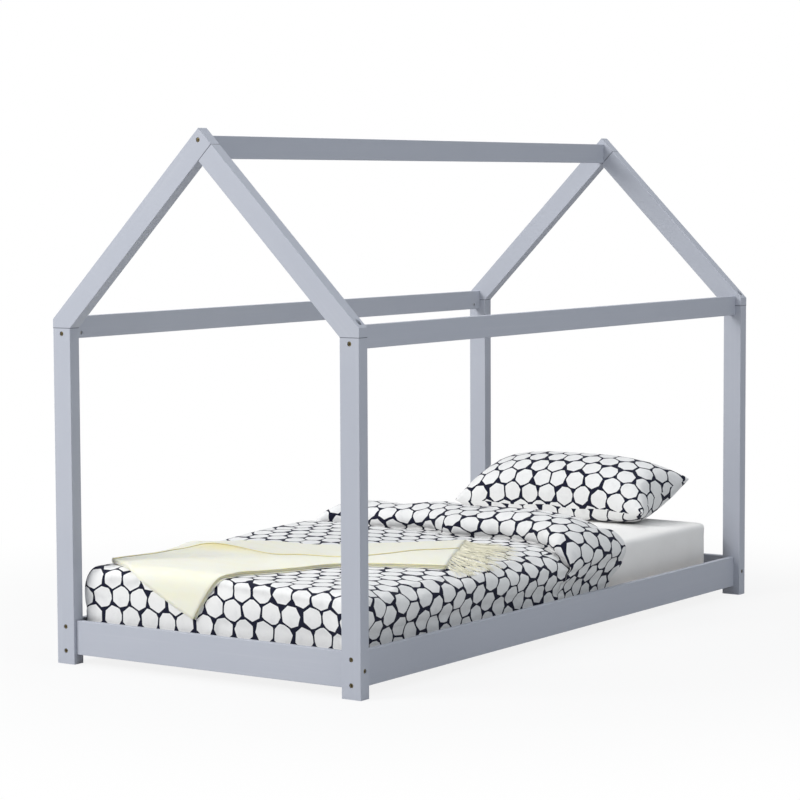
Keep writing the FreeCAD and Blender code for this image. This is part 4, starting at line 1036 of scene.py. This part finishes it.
def woven_throw():
    """Soft twill in pale yellow, with deeper random tones and a darker hem, and painted warm shade where the
    cloth turns in on itself.
    """
    material, cloth = finish("woven_throw", THROW_CONSTANTS, "UV")
    settings = {"wave_type": "BANDS", "bands_direction": "DIAGONAL", "wave_profile": "SIN"}
    rib = cloth.node("ShaderNodeTexWave", settings, {"Vector": cloth, "Scale": 130.0, "Distortion": 1.2}, 1)
    fold_shade_and_hem = cloth.node("ShaderNodeAttribute", {"attribute_name": "fold_shade_and_hem"}, {}, "Fac")
    nap = cloth.noise(420.0, 3.0, 0.6)
    cloud = cloth.noise(9.0, 3.0)
    # Random deeper tones, the hem's colour, and painted warm shade in the folds and the pocket
    deeper_and_shade = cloud.step(0.35, 0.8) * 0.15 + nap * 0.12 + fold_shade_and_hem * 0.85
    return feed(
        material,
        Base_Color=deeper_and_shade.tint(THROW_COLOUR, THROW_DEEP_AND_SHADE_COLOUR),
        Roughness=0.88 + nap * 0.1,
        Normal=(rib * 0.4 + nap * 0.35 + cloud * 0.25).bump(0.0010, 0.40),
    )


throw, throw_layers = make_throw()
thicken(throw, THROW_CLOTH)
yellow_wool = woven_throw()
dress(throw, yellow_wool, "duvet", "woven_throw", "throw")

# Fringe: the throw's own yarn, in tufts along the end of its two top layers.
# Each yarn leaves the hem and lies loosely on the duvet, a little bent and fanned out.
FRINGE_SHADE_COLOUR = (0.800, 0.750, 0.540, 1.0)
FRINGE_PITCH = 0.0150
FRINGE_STRANDS = 5
FRINGE_LENGTH = 0.165
FRINGE_YARN = 0.0010
FRINGE_SIDES = 5
FRINGE_STEPS = 10
FRINGE_FAN = 0.30
FRINGE_SPREAD = 0.16
FRINGE_BEND = 0.024
FRINGE_DROP = 0.30
FRINGE_LIMIT = 0.425
FRINGE_WAY = Vector((-0.05, -1.0, 0.0)).normalized()
random.seed(7)


def lies_at(spot, lift):
    """The spot, laid on the duvet."""
    hit = duvet_tree.ray_cast(Vector((spot.x, spot.y, 1.0)), Vector((0, 0, -1)))[0]
    return Vector((spot.x, spot.y, hit.z + lift))


def fringe_roots():
    """Where the tufts leave the ends of the two top layers."""
    roots = []
    for end in (throw_layers[-2][-1], throw_layers[-1][-1]):
        run = run_length(end)
        for far in np.arange(FRINGE_PITCH / 2, run[-1], FRINGE_PITCH):
            roots.append(Vector([np.interp(far, run, end[:, c]) for c in range(3)]))
    return roots


def yarn_line(root, fan, reach, yarn):
    """Points along one yarn of a tuft, from its root to its tip."""
    way = Matrix.Rotation(fan + random.uniform(-FRINGE_SPREAD, FRINGE_SPREAD), 3, "Z") @ FRINGE_WAY
    side = Vector((-way.y, way.x, 0.0))
    long = min(FRINGE_LENGTH * reach * random.uniform(0.80, 1.05), (root.y + FRINGE_LIMIT) / -way.y)
    bend = random.uniform(-FRINGE_BEND, FRINGE_BEND)
    loose = random.uniform(0.0, 0.003)
    line = []
    for f in np.linspace(0, 1, FRINGE_STEPS):
        aside = bend * f * f + 0.0008 * math.sin(f * 9 + yarn * 2.1)
        laid = lies_at(root + way * (long * f) + side * aside, FRINGE_YARN + 0.0006 * yarn + loose)
        start = max(0.0, 1 - f / FRINGE_DROP)
        laid.z = max(laid.z, laid.z + (root.z - laid.z) * start * start)
        line.append(laid)
    return line


def yarn_tube(line):
    """Points of a thin tube round a line, thinner towards its tip."""
    points = []
    last = len(line) - 1
    for s, spot in enumerate(line):
        ahead = (line[min(s + 1, last)] - line[max(s - 1, 0)]).normalized()
        across = ahead.cross(Vector((0, 0, 1))).normalized()
        up = across.cross(ahead)
        thick = FRINGE_YARN * (1.0 - 0.5 * s / last)
        for angle in np.arange(FRINGE_SIDES) * 2 * math.pi / FRINGE_SIDES:
            points.append(spot + across * (thick * math.cos(angle)) + up * (thick * math.sin(angle)))
    return points


def make_fringe():
    """Tufts of yarn along the ends of the layers, each yarn an open tube."""
    points = []
    faces = []
    for root in fringe_roots():
        fan = random.uniform(-FRINGE_FAN, FRINGE_FAN)
        reach = random.uniform(0.60, 1.08)
        for yarn in range(FRINGE_STRANDS):
            ring = len(points) + np.arange(FRINGE_STEPS * FRINGE_SIDES).reshape(FRINGE_STEPS, FRINGE_SIDES)
            points.extend(yarn_tube(yarn_line(root, fan, reach, yarn)))
            closed = np.concatenate((ring, ring[:, :1]), axis=1)
            faces.append(quads(closed, True))
    return soft_piece("throw_fringe", np.array([tuple(p) for p in points]), np.concatenate(faces))


def fringe_yarn():
    """Loose pale yellow yarn."""
    material, place = finish("fringe_yarn", {"Sheen Weight": 0.35, "Specular IOR Level": 0.2})
    fluff = place.noise(700.0, 3.0, 0.6)
    return feed(
        material,
        Base_Color=fluff.step(0.3, 0.75).tint(THROW_COLOUR, FRINGE_SHADE_COLOUR),
        Roughness=0.9 + fluff * 0.08,
        Normal=fluff.bump(0.0006, 0.5),
    )


fringe = make_fringe()
fringe.data.materials.append(fringe_yarn())
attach(fringe, "duvet")

# Studio: a pale floor that keeps the bed's shadow, a white surround for the camera, and large soft lamps.
# The main lamp stands beyond the foot, so the foot end is bright and the near side is in soft shade.
FLOOR_SIZE = 30.0
FLOOR_CLEAR = 2.4
FLOOR_GLOW = 0.86
FLOOR_COLOUR = (0.61, 0.61, 0.61, 1.0)
FLOOR_CLOUD_COLOUR = (0.63, 0.63, 0.63, 1.0)
SURROUND_COLOUR = (0.135, 0.145, 0.165, 1.0)
WHITE = (1.0, 1.0, 1.0, 1.0)
LAMPS = (
    ("foot_lamp", (-6.6, 3.6, 4.8), (-0.3, 0.0, 0.6), 4.0, 620.0, (1.0, 0.995, 0.985)),
    ("near_lamp", (-1.0, -5.5, 4.5), (0.0, 0.0, 0.6), 5.0, 150.0, (0.93, 0.97, 1.0)),
    ("top_lamp", (0.3, 0.3, 6.0), (0.0, 0.0, 0.0), 5.0, 160.0, (1.0, 1.0, 1.0)),
)
CAMERA_TARGET = Vector((-0.1653, -0.0216, 0.66))
CAMERA_AZIMUTH = math.radians(-55.807)
CAMERA_ELEVATION = math.radians(4.539)
CAMERA_ROLL = math.radians(-0.251)
CAMERA_DISTANCE = 7.4195
CAMERA_LENS = 119.67


def shown(tree):
    """1 on rays from the camera, and on those that reach it in a gloss or through glass, else 0."""
    path = tree.nodes.new("ShaderNodeLightPath")
    seen = Wire(tree, path.outputs["Is Camera Ray"])
    for ray in ("Is Glossy Ray", "Is Transmission Ray"):
        seen = seen.maths("MAXIMUM", seen, Wire(tree, path.outputs[ray]))
    return seen


bpy.ops.object.select_all(action="DESELECT")
bpy.ops.mesh.primitive_plane_add(size=FLOOR_SIZE, location=(0.0, 0.0, -0.0005))
floor = bpy.context.active_object
floor.name = "studio_floor"
floor_paper, floor_place = finish("floor_paper", {"Roughness": 0.9, "Specular IOR Level": 0.1})
feed(floor_paper, Base_Color=floor_place.noise(0.6, 2.0).tint(FLOOR_COLOUR, FLOOR_CLOUD_COLOUR))
floor_tree = floor_paper.node_tree
seen = shown(floor_tree)
glow = seen.node("ShaderNodeEmission", {}, {"Color": WHITE, "Strength": 1.0})
paper = Wire(floor_tree, floor_tree.nodes["Principled BSDF"].outputs["BSDF"])
distance = floor_place.node("ShaderNodeVectorMath", {"operation": "LENGTH"}, {0: floor_place}, "Value")
plain = FLOOR_GLOW + (1 - FLOOR_GLOW) * distance.step(1.0, FLOOR_CLEAR)
mixed = seen.node("ShaderNodeMixShader", {}, {0: seen * plain, 1: paper, 2: glow})
floor_tree.links.new(mixed.socket, floor_tree.nodes["Material Output"].inputs["Surface"])
floor.data.materials.append(floor_paper)

world = bpy.data.worlds.new("studio_world")
bpy.context.scene.world = world
world.use_nodes = True
sky_tree = world.node_tree
background = sky_tree.nodes["Background"]
background.inputs["Strength"].default_value = 1.0
surround = shown(sky_tree).tint(SURROUND_COLOUR, WHITE)
sky_tree.links.new(surround.socket, background.inputs["Color"])

for lamp_name, spot, aim, width, power, hue in LAMPS:
    light = bpy.data.lights.new(lamp_name, "AREA")
    light.shape = "SQUARE"
    light.size = width
    light.energy = power
    light.color = hue
    lamp = bpy.data.objects.new(lamp_name, light)
    lamp.location = spot
    lamp.rotation_euler = (Vector(aim) - Vector(spot)).to_track_quat("-Z", "Y").to_euler()
    bpy.context.scene.collection.objects.link(lamp)

lens = bpy.data.cameras.new("studio_camera")
lens.lens = CAMERA_LENS
lens.sensor_width = 36.0
camera = bpy.data.objects.new("studio_camera", lens)
bpy.context.scene.collection.objects.link(camera)
turn = Matrix.Rotation(CAMERA_AZIMUTH, 4, "Z") @ Matrix.Rotation(math.pi / 2 - CAMERA_ELEVATION, 4, "X")
turn = turn @ Matrix.Rotation(CAMERA_ROLL, 4, "Z")
away = Matrix.Translation((0.0, 0.0, CAMERA_DISTANCE))
camera.matrix_world = Matrix.Translation(CAMERA_TARGET) @ turn @ away
bpy.context.scene.camera = camera
bpy.context.scene.view_settings.view_transform = "Standard"
